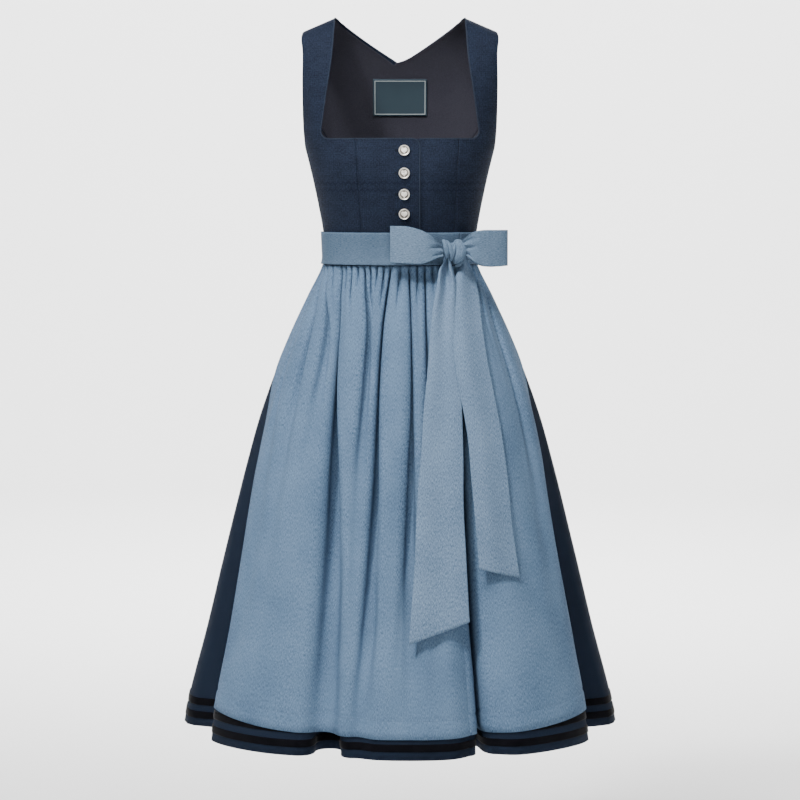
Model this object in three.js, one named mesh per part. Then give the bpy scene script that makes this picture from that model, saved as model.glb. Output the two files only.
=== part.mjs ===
// A dirndl: a folk dress with a sleeveless buttoned bodice, a gathered skirt and a tied apron.
// Millimetres, +Z up, the front faces -Y. The origin is midway between the two shoulder seams.
// "turn" is the angle round the body in degrees: 0 at the front, 90 on the +X side, 180 behind.
// "right" and "left" in names are the wearer's: the wearer's right is on the -X side.
import * as THREE from 'three';

const seamGap = 0.3;
const bodiceWall = 1.6;
const liningWall = 0.9;
const liningGap = 0.4;
const labelGap = 1.8;
const labelWall = 0.6;
const skirtWall = 1.4;
const velvetWall = 0.9;
const velvetGap = 0.7;
const apronWall = 1.2;
const apronLift = { waist: 2.6, below: 3.9, from: -440, to: -640 };
const bandWall = 1.5;
const bandLift = 4;
const bowWall = 1.5;

const waistSeam = -350;
const bandTop = -327;
const bandBottom = -379;
const skirtHem = -1112;
const necklineFront = -181.5;
const necklineBack = -53;
const necklinePeak = 11;
const underarm = -203;
const shoulderInner = 103.3;
const shoulderMiddle = 129;
const shoulderSlope = 0.43;

const colours = {
  bodice: 0x2a3650,
  lining: 0x26252f,
  label: 0x16262f,
  skirt: 0x1d2838,
  velvet: 0x08080c,
  apron: 0x6d86a2,
  metal: 0xc9c3b8,
};

// ---------------------------------------------------------------- tables and curves

// Rows of numbers under named columns become objects.
function table(names, rows) {
  return rows.map((row) => Object.fromEntries(names.map((name, i) => [name, row[i]])));
}

// A smooth curve through the points (xs, ys), with xs rising.
function curveThrough(xs, ys, x) {
  const last = xs.length - 1;
  const at = Math.min(Math.max(x, xs[0]), xs[last]);
  let i = 0;
  while (i < last - 1 && at > xs[i + 1]) i += 1;
  const slope = (k) => {
    const a = Math.max(k - 1, 0);
    const b = Math.min(k + 1, last);
    return (ys[b] - ys[a]) / (xs[b] - xs[a]);
  };
  const step = xs[i + 1] - xs[i];
  const t = (at - xs[i]) / step;
  const rise = t * t * (3 - 2 * t);
  return ys[i] * (1 - rise) + ys[i + 1] * rise
    + step * (slope(i) * t * (1 - t) * (1 - t) - slope(i + 1) * t * t * (1 - t));
}

// The value of one column of a table at a height, the rows running from the top down.
function atHeight(rows, column, z) {
  return curveThrough(rows.map((row) => -row.z), rows.map((row) => row[column]), -z);
}

const clamp01 = (value) => Math.min(Math.max(value, 0), 1);
const ease = (value) => clamp01(value) ** 2 * (3 - 2 * clamp01(value));
const mix = (a, b, t) => a + (b - a) * t;
const radians = (degrees) => (degrees * Math.PI) / 180;
const signedPower = (value, power) => Math.sign(value) * Math.abs(value) ** power;

// A point of a rounded section: half wide to each side, `deep` forward or back.
function sectionPoint(turn, half, deep, squareness) {
  const power = 2 / squareness;
  return {
    x: half * signedPower(Math.sin(radians(turn)), power),
    forward: deep * signedPower(Math.cos(radians(turn)), power),
  };
}

// ---------------------------------------------------------------- closed walls from grids

// Joins an outer and an inner grid of points into one closed wall.
function wallFromGrids(outer, inner) {
  const rows = outer.length;
  const columns = outer[0].length;
  const positions = [...outer.flat(), ...inner.flat()].flatMap((p) => [p.x, p.y, p.z]);
  const index = [];
  const front = (r, c) => r * columns + c;
  const behind = (r, c) => rows * columns + r * columns + c;
  const quad = (a, b, c, d) => index.push(a, b, c, a, c, d);
  for (let r = 0; r < rows - 1; r += 1) {
    for (let c = 0; c < columns - 1; c += 1) {
      quad(front(r, c), front(r + 1, c), front(r + 1, c + 1), front(r, c + 1));
      quad(behind(r, c), behind(r, c + 1), behind(r + 1, c + 1), behind(r + 1, c));
    }
    quad(front(r, 0), behind(r, 0), behind(r + 1, 0), front(r + 1, 0));
    const e = columns - 1;
    quad(front(r, e), front(r + 1, e), behind(r + 1, e), behind(r, e));
  }
  for (let c = 0; c < columns - 1; c += 1) {
    const e = rows - 1;
    quad(front(0, c), front(0, c + 1), behind(0, c + 1), behind(0, c));
    quad(front(e, c), behind(e, c), behind(e, c + 1), front(e, c + 1));
  }
  return closedGeometry(positions, index);
}

// Puts the triangles into a geometry and turns them outwards.
function closedGeometry(positions, index) {
  let volume = 0;
  const point = (k) => new THREE.Vector3().fromArray(positions, index[k] * 3);
  for (let k = 0; k < index.length; k += 3) {
    volume += point(k).dot(point(k + 1).cross(point(k + 2)));
  }
  const faces = volume < 0 ? index.slice().reverse() : index;
  const geometry = new THREE.BufferGeometry();
  geometry.setAttribute('position', new THREE.Float32BufferAttribute(positions, 3));
  geometry.setIndex(faces);
  geometry.computeVertexNormals();
  return geometry;
}

// A wall between two distances out from a surface. `surface(column, row, out)` gives a point.
function sheetWall(surface, columnPlaces, rowPlaces, outerOut, thickness) {
  const grid = (out) => rowPlaces.map((r) => columnPlaces.map((c) => surface(c, r, out)));
  return wallFromGrids(grid(outerOut), grid(outerOut - thickness));
}

// Moves a point of `raw(a, b)` out along its surface by `out`.
function movedOut(raw, a, b, stepA, stepB, out) {
  const point = raw(a, b);
  const alongA = raw(a + stepA, b).sub(raw(a - stepA, b));
  const alongB = raw(a, b + stepB).sub(raw(a, b - stepB));
  return point.addScaledVector(alongA.cross(alongB).normalize(), out);
}

function steps(from, to, count) {
  return Array.from({ length: count + 1 }, (_, i) => mix(from, to, i / count));
}

function makeMesh(name, geometry, colour, roughness = 0.85, metalness = 0) {
  const material = new THREE.MeshStandardMaterial({ color: colour, roughness, metalness });
  const mesh = new THREE.Mesh(geometry, material);
  mesh.name = name;
  return mesh;
}

// ---------------------------------------------------------------- the bodice's shape

// Sections of the worn bodice. `shoulder` says how far a section follows the shoulders' slope.
const torso = table(['z', 'half', 'front', 'back', 'square', 'shoulder'], [
  [0, 176, 0, 0, 5, 1],
  [-5, 175.5, 22, 23, 4.6, 0.95],
  [-18, 174, 42, 44, 4.1, 0.7],
  [-44, 170, 63, 65, 3.4, 0.35],
  [-90, 166, 84, 84, 2.9, 0],
  [-140, 160, 96, 92, 2.6, 0],
  [-181, 154, 103, 95, 2.4, 0],
  [-205, 148, 107, 95, 2.35, 0],
  [-240, 139.5, 110, 92, 2.3, 0],
  [-285, 130, 104, 86, 2.2, 0],
  [-327, 122.5, 95, 82, 2.15, 0],
  [-350, 121.5, 93, 82, 2.15, 0],
]);
const bust = { x: 74, z: -222, out: 7, wide: 36, high: 42 };

const torsoLevels = torso.map((_, i) => i);
const torsoAt = (column, level) => curveThrough(torsoLevels, torso.map((row) => row[column]), level);

// The bodice's outer surface by turn and level, a level being a row of the torso table.
function torsoRaw(turn, level) {
  const facing = Math.cos(radians(turn));
  const deep = facing > 0 ? torsoAt('front', level) : torsoAt('back', level);
  const at = sectionPoint(turn, torsoAt('half', level), Math.max(deep, 0.01), torsoAt('square', level));
  const outward = Math.max(Math.abs(at.x) - shoulderMiddle, -40);
  const z = torsoAt('z', level) - shoulderSlope * torsoAt('shoulder', level) * outward;
  const acrossBust = (Math.abs(at.x) - bust.x) / bust.wide;
  const alongBust = (z - bust.z) / bust.high;
  const cup = facing > 0 ? bust.out * Math.exp(-acrossBust * acrossBust - alongBust * alongBust) : 0;
  return new THREE.Vector3(at.x, -at.forward - cup, z);
}

const torsoPoint = (turn, level, out) => movedOut(torsoRaw, turn, level, 0.05, -0.01, out);

// The turn and level of the bodice point at a width and height, in front or behind.
function torsoPlace(x, z, behind = false) {
  let turn = x < 0 ? -45 : 45;
  let level = 5;
  for (let round = 0; round < 12; round += 1) {
    let top = 0;
    let bottom = torso.length - 1;
    const signedTurn = behind ? 180 - turn : turn;
    for (let halving = 0; halving < 30; halving += 1) {
      level = (top + bottom) / 2;
      if (torsoRaw(signedTurn, level).z > z) top = level;
      else bottom = level;
    }
    const share = Math.min(Math.abs(x) / torsoAt('half', level), 1);
    turn = Math.sign(x) * THREE.MathUtils.radToDeg(Math.asin(share ** (torsoAt('square', level) / 2)));
  }
  return { turn: behind ? 180 - turn : turn, level };
}

// An edge of a panel: places along it, each at a share t of the edge.
function edgeThrough(places) {
  return (t) => {
    let i = 0;
    while (i < places.length - 2 && t > places[i + 1].t) i += 1;
    const share = (t - places[i].t) / (places[i + 1].t - places[i].t);
    return {
      turn: mix(places[i].turn, places[i + 1].turn, share),
      level: mix(places[i].level, places[i + 1].level, share),
    };
  };
}

// A panel between four edges: each point is spanned between the edges beside it.
function panelPlace(edges, s, t) {
  const span = (key) => mix(edges.bottom(s)[key], edges.top(s)[key], t)
    + mix(edges.inner(t)[key], edges.outer(t)[key], s)
    - mix(
      mix(edges.bottom(0)[key], edges.bottom(1)[key], s),
      mix(edges.top(0)[key], edges.top(1)[key], s),
      t,
    );
  return { turn: span('turn'), level: span('level') };
}

function panelWall(edges, columnShares, rows, outerOut, thickness) {
  const surface = (s, t, out) => {
    const place = panelPlace(edges, s, t);
    const lift = typeof outerOut === 'function' ? outerOut(place) : outerOut;
    return torsoPoint(place.turn, place.level, lift + out);
  };
  return sheetWall(surface, columnShares, steps(0, 1, rows), 0, thickness);
}

// Columns across the whole back, even in width rather than in turn.
const acrossBack = (count) => steps(-1, 1, count).map((share) => 0.5 + 0.5 * signedPower(share, 1.3));

const gapTurn = 0.09;
const gapLevel = 0.007;
const shoulderGap = 0.022;
const waistLevel = torso.length - 1 - gapLevel;
const place = (t, turn, level) => ({ t, turn, level });
const placeAt = (t, x, z, behind = false, shift = 0) => {
  const at = torsoPlace(x, z, behind);
  return { t, turn: at.turn + shift, level: at.level };
};
const levelAt = (turn, z) => {
  let top = 0;
  let bottom = torso.length - 1;
  for (let halving = 0; halving < 30; halving += 1) {
    const middle = (top + bottom) / 2;
    if (torsoRaw(turn, middle).z > z) top = middle;
    else bottom = middle;
  }
  return (top + bottom) / 2;
};

// Seam lines: the front princess seams, the back princess seams and the armholes.
const princessRight = { top: -69, middle: -65, bottom: -59 };
const princessLeft = { top: 92, middle: 89, bottom: 83 };
const placket = { overlapEdge: 31, underEdge: -4, buttonLine: 6.5 };
const armholeFront = table(['turn', 'z'], [
  [90, underarm], [81, -188], [75.5, -165], [70, -135], [63.5, -92], [57, -46], [52, -20], [46, 0],
]);
const armholeBack = table(['turn', 'z'], [
  [90, underarm], [97, -190], [105, -160], [113, -125], [118.5, -90], [124, -46], [129, -18], [134, 0],
]);
const armholeLevel = (row) => (row.z === 0 ? 0 : levelAt(row.turn, row.z));
const neckFront = table(['t', 'x', 'z'], [
  [0.40, null, necklineFront], [0.47, 113, necklineFront], [0.5, 121.5, -178],
  [0.53, 124.5, -168], [0.68, 117, -120], [0.84, 107.5, -56], [1, shoulderInner, 0],
]);

// The front side panel of one side, with its shoulder strap.
function frontSideEdges(side, princess) {
  const shift = side * gapTurn;
  const inner = [
    placeAt(0, princess.bottom, waistSeam + seamGap, false, shift),
    placeAt(0.2, princess.middle, -260, false, shift),
    ...neckFront.slice(0, -1).map((row) => placeAt(row.t, row.x === null ? princess.top : side * row.x,
      row.z, false, row.x === null ? shift : 0)),
    place(1, side * strapTurn(shoulderInner), shoulderGap),
  ];
  const armShares = [0.4, 0.47, 0.54, 0.62, 0.74, 0.86, 0.94, 1];
  const outer = [
    place(0, side * (90 - gapTurn), waistLevel),
    ...armholeFront.map((row, i) => place(armShares[i], side * (row.turn - gapTurn),
      Math.max(armholeLevel(row), shoulderGap))),
  ];
  return {
    inner: edgeThrough(inner),
    outer: edgeThrough(outer),
    bottom: edgeThrough([place(0, inner[0].turn, waistLevel), place(1, outer[0].turn, waistLevel)]),
    top: edgeThrough([place(0, inner.at(-1).turn, shoulderGap), place(1, outer.at(-1).turn, shoulderGap)]),
  };
}

// The turn at which the shoulder seam has a given width.
function strapTurn(width) {
  const share = width / torsoAt('half', 0);
  return THREE.MathUtils.radToDeg(Math.asin(share ** (torsoAt('square', 0) / 2)));
}

// A front centre panel between two widths, each {top, middle, bottom}; its top is the neckline.
function frontCentreEdges(from, to, shiftFrom, shiftTo, roundedCorner) {
  const side = (line, shift) => edgeThrough([
    placeAt(0, line.bottom, waistSeam + seamGap, false, shift),
    placeAt(0.5, line.middle, -260, false, shift),
    placeAt(1, line.top, necklineFront - (line.drop ?? 0), false, shift),
  ]);
  const topRow = [0, 0.25, 0.5, 0.75, 0.9, 1].map((t) => {
    const last = t === 1 ? to.drop ?? 0 : 0;
    const shift = mix(shiftFrom, shiftTo, t);
    const z = necklineFront - last - (t === 0.9 ? roundedCorner : 0);
    return placeAt(t, mix(from.top, to.top, t), z, false, shift);
  });
  return {
    inner: side(from, shiftFrom),
    outer: side(to, shiftTo),
    bottom: edgeThrough([0, 0.25, 0.5, 0.75, 1].map((t) => placeAt(t, mix(from.bottom, to.bottom, t),
      waistSeam + seamGap, false, mix(shiftFrom, shiftTo, t)))),
    top: edgeThrough(topRow),
  };
}

// The left front passes under the overlap and comes level with its neighbours beyond it.
function underOverlap(at) {
  const x = torsoRaw(at.turn, at.level).x;
  return -(bodiceWall + seamGap) * (1 - ease((x - placket.overlapEdge - 5) / 16));
}

// The back princess seam, from the waist to the armhole.
const backPrincess = table(['turn', 'z'], [
  [158, waistSeam + seamGap], [154, -290], [146, -230], [131, -170], [113, -125],
]);

function backSideEdges(side) {
  const around = (turn) => (side > 0 ? turn : 360 - turn);
  const seam = backPrincess.map((row, i) => place(i / (backPrincess.length - 1), around(row.turn - gapTurn),
    Math.min(levelAt(row.turn, row.z), waistLevel)));
  const armRows = armholeBack.slice(0, 4);
  const arm = armRows.map((row, i) => place(i / (armRows.length - 1), around(row.turn + (i ? 0 : gapTurn)),
    armholeLevel(row)));
  arm[arm.length - 1] = place(1, seam.at(-1).turn, seam.at(-1).level);
  const sideSeam = [place(0, around(90 + gapTurn), waistLevel), place(1, arm[0].turn, arm[0].level)];
  return {
    inner: edgeThrough(sideSeam),
    outer: edgeThrough(seam),
    bottom: edgeThrough([place(0, sideSeam[0].turn, waistLevel), place(1, seam[0].turn, waistLevel)]),
    top: edgeThrough(arm),
  };
}

// The outline of the back between its princess seams, with both straps and the V neckline. `sides` is
// the outer edge of its +X half, from the waist up.
function backEdges(sides) {
  const mirrored = sides.map((at) => ({ ...at, turn: 360 - at.turn }));
  const strapShare = 0.3;
  const vBow = 2;
  const vEdge = [0.25, 0.5, 0.75].map((share) => {
    const z = mix(necklinePeak, necklineBack, share) - vBow * Math.sin(share * Math.PI);
    const at = torsoPlace(mix(shoulderInner, 0, share), z, true);
    return place(mix(strapShare, 0.5, share), at.turn, at.level);
  });
  const right = [
    place(0, sides.at(-1).turn, shoulderGap),
    place(strapShare, 180 - strapTurn(shoulderInner), shoulderGap),
    ...vEdge,
    place(0.5, 180, levelAt(180, necklineBack)),
  ];
  const left = right.slice(0, -1).reverse().map((at) => place(1 - at.t, 360 - at.turn, at.level));
  return {
    inner: edgeThrough(sides),
    outer: edgeThrough(mirrored),
    bottom: edgeThrough([place(0, sides[0].turn, waistLevel), place(1, mirrored[0].turn, waistLevel)]),
    top: edgeThrough([...right, ...left]),
  };
}

// Spaces the places of an edge's upper stretch by their levels, from a share of the edge to its end.
function sharedByLevel(places, from) {
  const [first, last] = [places[0].level, places.at(-1).level];
  return places.map((at) => place(mix(from, 1, (first - at.level) / (first - last)), at.turn, at.level));
}

function backCentreSides() {
  const seam = backPrincess.map((row, i) => place(0.5 * (i / (backPrincess.length - 1)), row.turn + gapTurn,
    Math.min(levelAt(row.turn, row.z), waistLevel)));
  const arm = armholeBack.slice(3).map((row) => ({
    turn: row.turn,
    level: Math.max(armholeLevel(row), shoulderGap),
  }));
  return [...seam, ...sharedByLevel(arm, 0.5).slice(1)];
}

// ---------------------------------------------------------------- the skirt's shape

// Sections of the skirt over the crests of its folds.
const skirtSections = table(['z', 'half', 'front', 'back'], [
  [bandTop, 122.5, 95, 82],
  [waistSeam, 121.5, 93, 82],
  [bandBottom, 123, 96, 86],
  [-430, 147, 117, 110],
  [-482, 171, 139, 138],
  [-555, 202, 166, 168],
  [-624, 227, 190, 192],
  [-685, 245, 210, 210],
  [-751, 263, 228, 226],
  [-861, 290, 257, 252],
  [-963, 314, 283, 275],
  [-1063, 340, 308, 297],
  [skirtHem, 350, 320, 308],
]);
const skirtSquareness = 2.15;

// Heights at which the fold tables give their values.
const stations = [bandBottom, -482, -730, skirtHem];
const overStations = (values, z) => curveThrough(stations.map((s) => -s), values, -z);

// Folds and plain threads, across the front. A thread runs from the waist to the hem. Turns in
// degrees and depths and widths in mm are at the waist, hip, knee and hem. The walls' steepness is
// in degrees, `skirtHemDeep` is the fold's depth at the skirt's own hem, and `gathers` is the number
// of small gathers up to the next row.
const foldColumns = ['name', 'turns', 'deep', 'wide', 'steepRight', 'steepLeft', 'skirtHemDeep', 'gathers'];
const frontFolds = table(foldColumns, [
  ['rightEdge', [-91, -91, -65.2, -57], [0, 0, 0, 0], [8, 8, 8, 8], 50, 50, 0, 1],
  ['rightHip', [-84, -74, -56, -50], [3, 7, 0, 0], [13, 24, 50, 60], 50, 50, 0, 0],
  ['rightThigh', [-73, -57, -47, -42], [3, 7, 0, 0], [13, 26, 50, 60], 50, 50, 0, 0],
  ['rightShort', [-62, -45.5, -36, -33], [3.5, 8, 0, 0], [13, 22, 50, 60], 60, 50, 0, 0],
  ['rightDeep', [-48, -35.5, -24.6, -18.5], [4, 15, 38, 24], [14, 28, 62, 92], 80, 60, 60, 2],
  ['rightMiddle', [-26, -18.5, -14, -13.5], [4, 10, 10, 0], [14, 24, 40, 60], 65, 50, 0, 2],
  ['centreRight', [-5.5, -7.3, -7.6, -9.5], [4, 11, 22, 0], [14, 22, 36, 60], 50, 80, 0, 0],
  ['centreLeft', [6.5, 5, 3.2, 1.5], [4, 11, 12, 0], [14, 20, 36, 60], 70, 60, 0, 0],
  ['leftMiddle', [18, 15.2, 10.5, 9.5], [4, 11, 10, 0], [14, 20, 34, 60], 70, 60, 0, 1],
  ['leftDeep', [36, 30, 23.2, 20.5], [4, 16, 44, 68], [14, 26, 38, 46], 90, 60, 68, 3],
  ['leftHip', [80, 67, 56, 48], [4, 10, 0, 0], [14, 30, 50, 60], 55, 55, 0, 0],
  ['leftEdge', [91, 90, 63.4, 60.5], [0, 0, 0, 0], [8, 8, 8, 8], 50, 50, 0, 0],
]);

// Broad hollows between the apron's edges and the skirt's sides.
const sideHollows = table(foldColumns, [
  ['rightHollow', [-80, -80, -74, -69], [0, 0, 14, 42], [20, 40, 90, 150], 45, 45, 42, 0],
  ['leftHollow', [80, 80, 74, 69], [0, 0, 14, 45], [20, 40, 90, 150], 45, 45, 45, 0],
]);

const smallGather = {
  deep: [2.6, 2.4, 0, 0], wide: [10, 14, 20, 20], steepRight: 45, steepLeft: 45, skirtHemDeep: 0,
};

// Adds the small gathers between the rows of a fold table.
function withGathers(rows) {
  return rows.flatMap((row, i) => {
    const next = rows[i + 1];
    const between = next ? row.gathers : 0;
    const gathers = steps(0, 1, between + 1).slice(1, -1).map((share) => ({
      ...smallGather,
      name: 'gather',
      turns: row.turns.map((turn, k) => mix(turn, next.turns[k], share)),
    }));
    return [row, ...gathers];
  });
}

// The back falls in even pleats, alternately a little deeper and shallower.
const backPleats = { count: 8, from: 93, to: 267, gathers: 1, wander: [0.5, 1, 2, 3] };

function backPleat(k) {
  const side = k % 2 ? -1 : 1;
  const middle = mix(backPleats.from, backPleats.to, (k + 0.5) / backPleats.count);
  const towardsRight = k < backPleats.count / 2;
  return {
    name: `backPleat${k + 1}`,
    turns: backPleats.wander.map((wander) => middle + side * wander),
    deep: [4, 13, 34 + 6 * side, 52 + 8 * side],
    wide: [14, 26, 54, 74],
    steepRight: towardsRight ? 85 : 60,
    steepLeft: towardsRight ? 60 : 85,
    skirtHemDeep: 52 + 8 * side,
    gathers: backPleats.gathers,
  };
}

const plainThread = (name, turns, gathers) => ({
  name,
  turns,
  deep: [0, 0, 0, 0],
  wide: [8, 8, 8, 8],
  steepRight: 50,
  steepLeft: 50,
  skirtHemDeep: 0,
  gathers,
});
const apronThreads = withGathers(frontFolds);
const backThreads = withGathers([
  plainThread('leftSeam', [93.3, 92.3, 91.3, 90.8], 0),
  ...steps(0, 1, backPleats.count - 1).map((_, k) => backPleat(k)),
  plainThread('rightSeam', [266.7, 267.7, 268.7, 269.2], 0),
]);
const frontThreads = [
  plainThread('rightSeam', [-93.1, -92.1, -91.1, -90.6], 0),
  ...apronThreads,
  plainThread('leftSeam', [93.1, 92.1, 91.1, 90.6], 0),
];
const allFolds = [...apronThreads, ...sideHollows, ...backThreads]
  .filter((fold) => Math.max(...fold.deep) > 0);

// One wall of a fold as a curve whose slope swells to `steepest` degrees and dies away again,
// scaled to a depth of 1: [across, down] at even shares of its length.
const wallSteps = 48;
const wallShapes = new Map();
function wallShape(steepest) {
  if (!wallShapes.has(steepest)) {
    const slopeAt = (i) => radians(steepest) * Math.sin((Math.PI * i) / wallSteps);
    let across = 0;
    let down = 0;
    const points = [[0, 0]];
    for (let i = 1; i <= wallSteps; i += 1) {
      across += (Math.cos(slopeAt(i)) + Math.cos(slopeAt(i - 1))) / 2;
      down += (Math.sin(slopeAt(i)) + Math.sin(slopeAt(i - 1))) / 2;
      points.push([across, down]);
    }
    wallShapes.set(steepest, points.map(([a, b]) => [a / down, b / down]));
  }
  return wallShapes.get(steepest);
}

function alongWall(steepest, share) {
  const points = wallShape(steepest);
  const at = clamp01(share) * wallSteps;
  const i = Math.min(Math.floor(at), wallSteps - 1);
  return [0, 1].map((k) => mix(points[i][k], points[i + 1][k], at - i));
}

// The skirt's or the apron's surface by turn and height: the crest section, with each fold
// sinking inwards between its two walls.
function drapeRaw(turn, z, cloth) {
  const facing = Math.cos(radians(turn));
  const half = atHeight(skirtSections, 'half', z);
  const deep = atHeight(skirtSections, facing > 0 ? 'front' : 'back', z);
  const at = sectionPoint(turn, half, deep, skirtSquareness);
  const outX = signedPower(at.x / half, skirtSquareness - 1) / half;
  const outForward = signedPower(at.forward / deep, skirtSquareness - 1) / deep;
  const size = Math.hypot(outX, outForward) || 1;
  const perDegree = ((half + deep) / 2) * radians(1);
  const belowBand = clamp01((bandBottom + 20 - z) / 18);
  let inwards = 0;
  let sideways = 0;
  for (const fold of allFolds) {
    const away = ((((turn - overStations(fold.turns, z) + 180) % 360) + 360) % 360 - 180) * perDegree;
    const wallWide = overStations(fold.wide, z) / 2;
    if (Math.abs(away) >= wallWide) continue;
    const hemDeep = cloth === 'skirt' ? Math.max(fold.skirtHemDeep, fold.deep[3]) : fold.deep[3];
    const depths = [...fold.deep.slice(0, 3), hemDeep];
    const depth = Math.max(overStations(depths, z), 0) * belowBand;
    const steepest = away < 0 ? fold.steepRight : fold.steepLeft;
    const share = 1 - Math.abs(away) / wallWide;
    const [across, down] = alongWall(steepest, share);
    const [fullAcross] = alongWall(steepest, 1);
    const reach = wallWide - depth * across - (wallWide - depth * fullAcross) * share;
    inwards += depth * down;
    sideways += Math.sign(away) * reach - away;
  }
  return new THREE.Vector3(
    at.x - (outX / size) * inwards + (outForward / size) * sideways,
    -(at.forward - (outForward / size) * inwards - (outX / size) * sideways),
    z,
  );
}

const drapePoint = (cloth) => (turn, z, out) => movedOut(
  (a, b) => drapeRaw(a, b, cloth), turn, z, 0.02, 0.5, out,
);

// The turn of a thread, counted along a list of threads, at a height.
function threadTurn(threads, thread, z) {
  const i = Math.min(Math.floor(thread), threads.length - 2);
  return mix(overStations(threads[i].turns, z), overStations(threads[i + 1].turns, z), thread - i);
}

// Columns of a cloth: threads that stand closer where the cloth bends more.
function columnsByBend(surface, threadCount, rows, count) {
  const fine = steps(0, threadCount - 1, 480);
  const weight = new Array(fine.length).fill(0);
  for (const row of rows) {
    const points = fine.map((thread) => surface(thread, row, 0));
    for (let i = 1; i < fine.length - 1; i += 1) {
      const before = points[i].clone().sub(points[i - 1]);
      const after = points[i + 1].clone().sub(points[i]);
      weight[i] += before.angleTo(after) + (0.35 * before.length()) / 20;
    }
  }
  const sums = [0];
  for (let i = 1; i < fine.length; i += 1) sums.push(sums[i - 1] + weight[i] + 1e-6);
  return steps(0, sums.at(-1), count).map((target) => {
    let i = 0;
    while (i < sums.length - 2 && sums[i + 1] < target) i += 1;
    return mix(fine[i], fine[i + 1], clamp01((target - sums[i]) / (sums[i + 1] - sums[i])));
  });
}

const skirtRows = [waistSeam - seamGap, bandBottom, -425, -482, -570, -690, -830, -960, -1045, skirtHem];
const bendRows = [-400, -482, -730, -1000, skirtHem];

function skirtSurface(threads, cloth = 'skirt') {
  const point = drapePoint(cloth);
  return (thread, z, out) => point(threadTurn(threads, thread, z), z, out);
}

// The apron's hem hangs lower in the middle than at its corners.
function apronHemAt(turn) {
  const share = clamp01(1 - ((turn - 2) / 59) ** 2);
  return mix(-1063, -1083, share);
}

function apronSurface(thread, z, out) {
  const hem = apronHemAt(threadTurn(apronThreads, thread, skirtHem));
  const height = Math.max(z, hem);
  const share = ease((apronLift.from - height) / (apronLift.from - apronLift.to));
  const lift = mix(apronLift.waist, apronLift.below, share);
  return skirtSurface(apronThreads, 'apron')(thread, height, lift + out);
}

// ---------------------------------------------------------------- apron band and bow

// The point of the crest section straight ahead of a width and height.
function crestForward(x, z) {
  const share = Math.min(Math.abs(x) / atHeight(skirtSections, 'half', z), 0.999);
  return atHeight(skirtSections, 'front', z) * (1 - share ** skirtSquareness) ** (1 / skirtSquareness);
}

function bandSurface(turn, z, out) {
  const raw = (a, b) => {
    const facing = Math.cos(radians(a));
    const deep = atHeight(skirtSections, facing > 0 ? 'front' : 'back', b);
    const at = sectionPoint(a, atHeight(skirtSections, 'half', b), deep, skirtSquareness);
    return new THREE.Vector3(at.x, -at.forward, b);
  };
  return movedOut(raw, turn, z, 0.05, 0.5, out);
}

const knot = { x: 71.5, z: -357, wide: 38, high: 41, deep: 24, out: 19.5 };

// Loops of the bow, from the knot to the rounded end and back. Ends are [x, forward] in plan.
const loops = [
  {
    name: 'bow_loop_right',
    from: [61, 104],
    through: [28, 114],
    to: [-16, 112],
    rows: table(['share', 'middle', 'halfHigh', 'halfDeep'], [
      [0, -354, 10, 3.5], [0.3, -352, 16, 6], [0.6, -349.5, 24, 6.5],
      [0.85, -347, 27, 5.5], [1, -346, 27.7, 3],
    ]),
  },
  {
    name: 'bow_loop_left',
    from: [102, 84],
    through: [134, 80],
    to: [167, 64],
    rows: table(['share', 'middle', 'halfHigh', 'halfDeep'], [
      [0, -354, 12, 3.5], [0.3, -352, 23, 6], [0.6, -351.5, 27.5, 7],
      [0.85, -352, 28, 5.5], [1, -352, 28.4, 3],
    ]),
  },
];

// A loop: the band of cloth goes out in front, turns round and comes back behind.
function loopGeometry(loop) {
  const curve = new THREE.QuadraticBezierCurve(
    new THREE.Vector2(...loop.from),
    new THREE.Vector2(...loop.through),
    new THREE.Vector2(...loop.to),
  );
  const shares = loop.rows.map((row) => row.share);
  const at = (share, column) => curveThrough(shares, loop.rows.map((row) => row[column]), share);
  const raw = (along, across) => {
    const share = Math.min(1 - Math.abs(1 - along), 1);
    const side = Math.sin(clamp01((1 - along) * 5 + 0.5) * Math.PI - Math.PI / 2);
    const plan = curve.getPoint(share);
    const tangent = curve.getTangent(share);
    const facing = tangent.x < 0 ? 1 : -1;
    const normal = new THREE.Vector2(facing * tangent.y, -facing * tangent.x);
    const crease = 1.6 * Math.sin(across * 3 * Math.PI) * (1 - share) ** 1.5;
    const out = side * at(share, 'halfDeep') + crease * (side > 0 ? 1 : 0);
    return new THREE.Vector3(
      plan.x + normal.x * out,
      -(plan.y + normal.y * out),
      at(share, 'middle') + across * at(share, 'halfHigh'),
    );
  };
  const surface = (along, across, out) => movedOut(raw, along, across, 0.01, 0.01, out);
  const alongFront = [0, 0.15, 0.3, 0.5, 0.7, 0.85, 0.93, 0.97, 1];
  const alongBehind = alongFront.slice(0, -1).reverse().map((along) => 2 - along);
  const alongPlaces = [...alongFront, ...alongBehind];
  return sheetWall(surface, alongPlaces, steps(-1, 1, 6), 0, bowWall);
}

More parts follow.
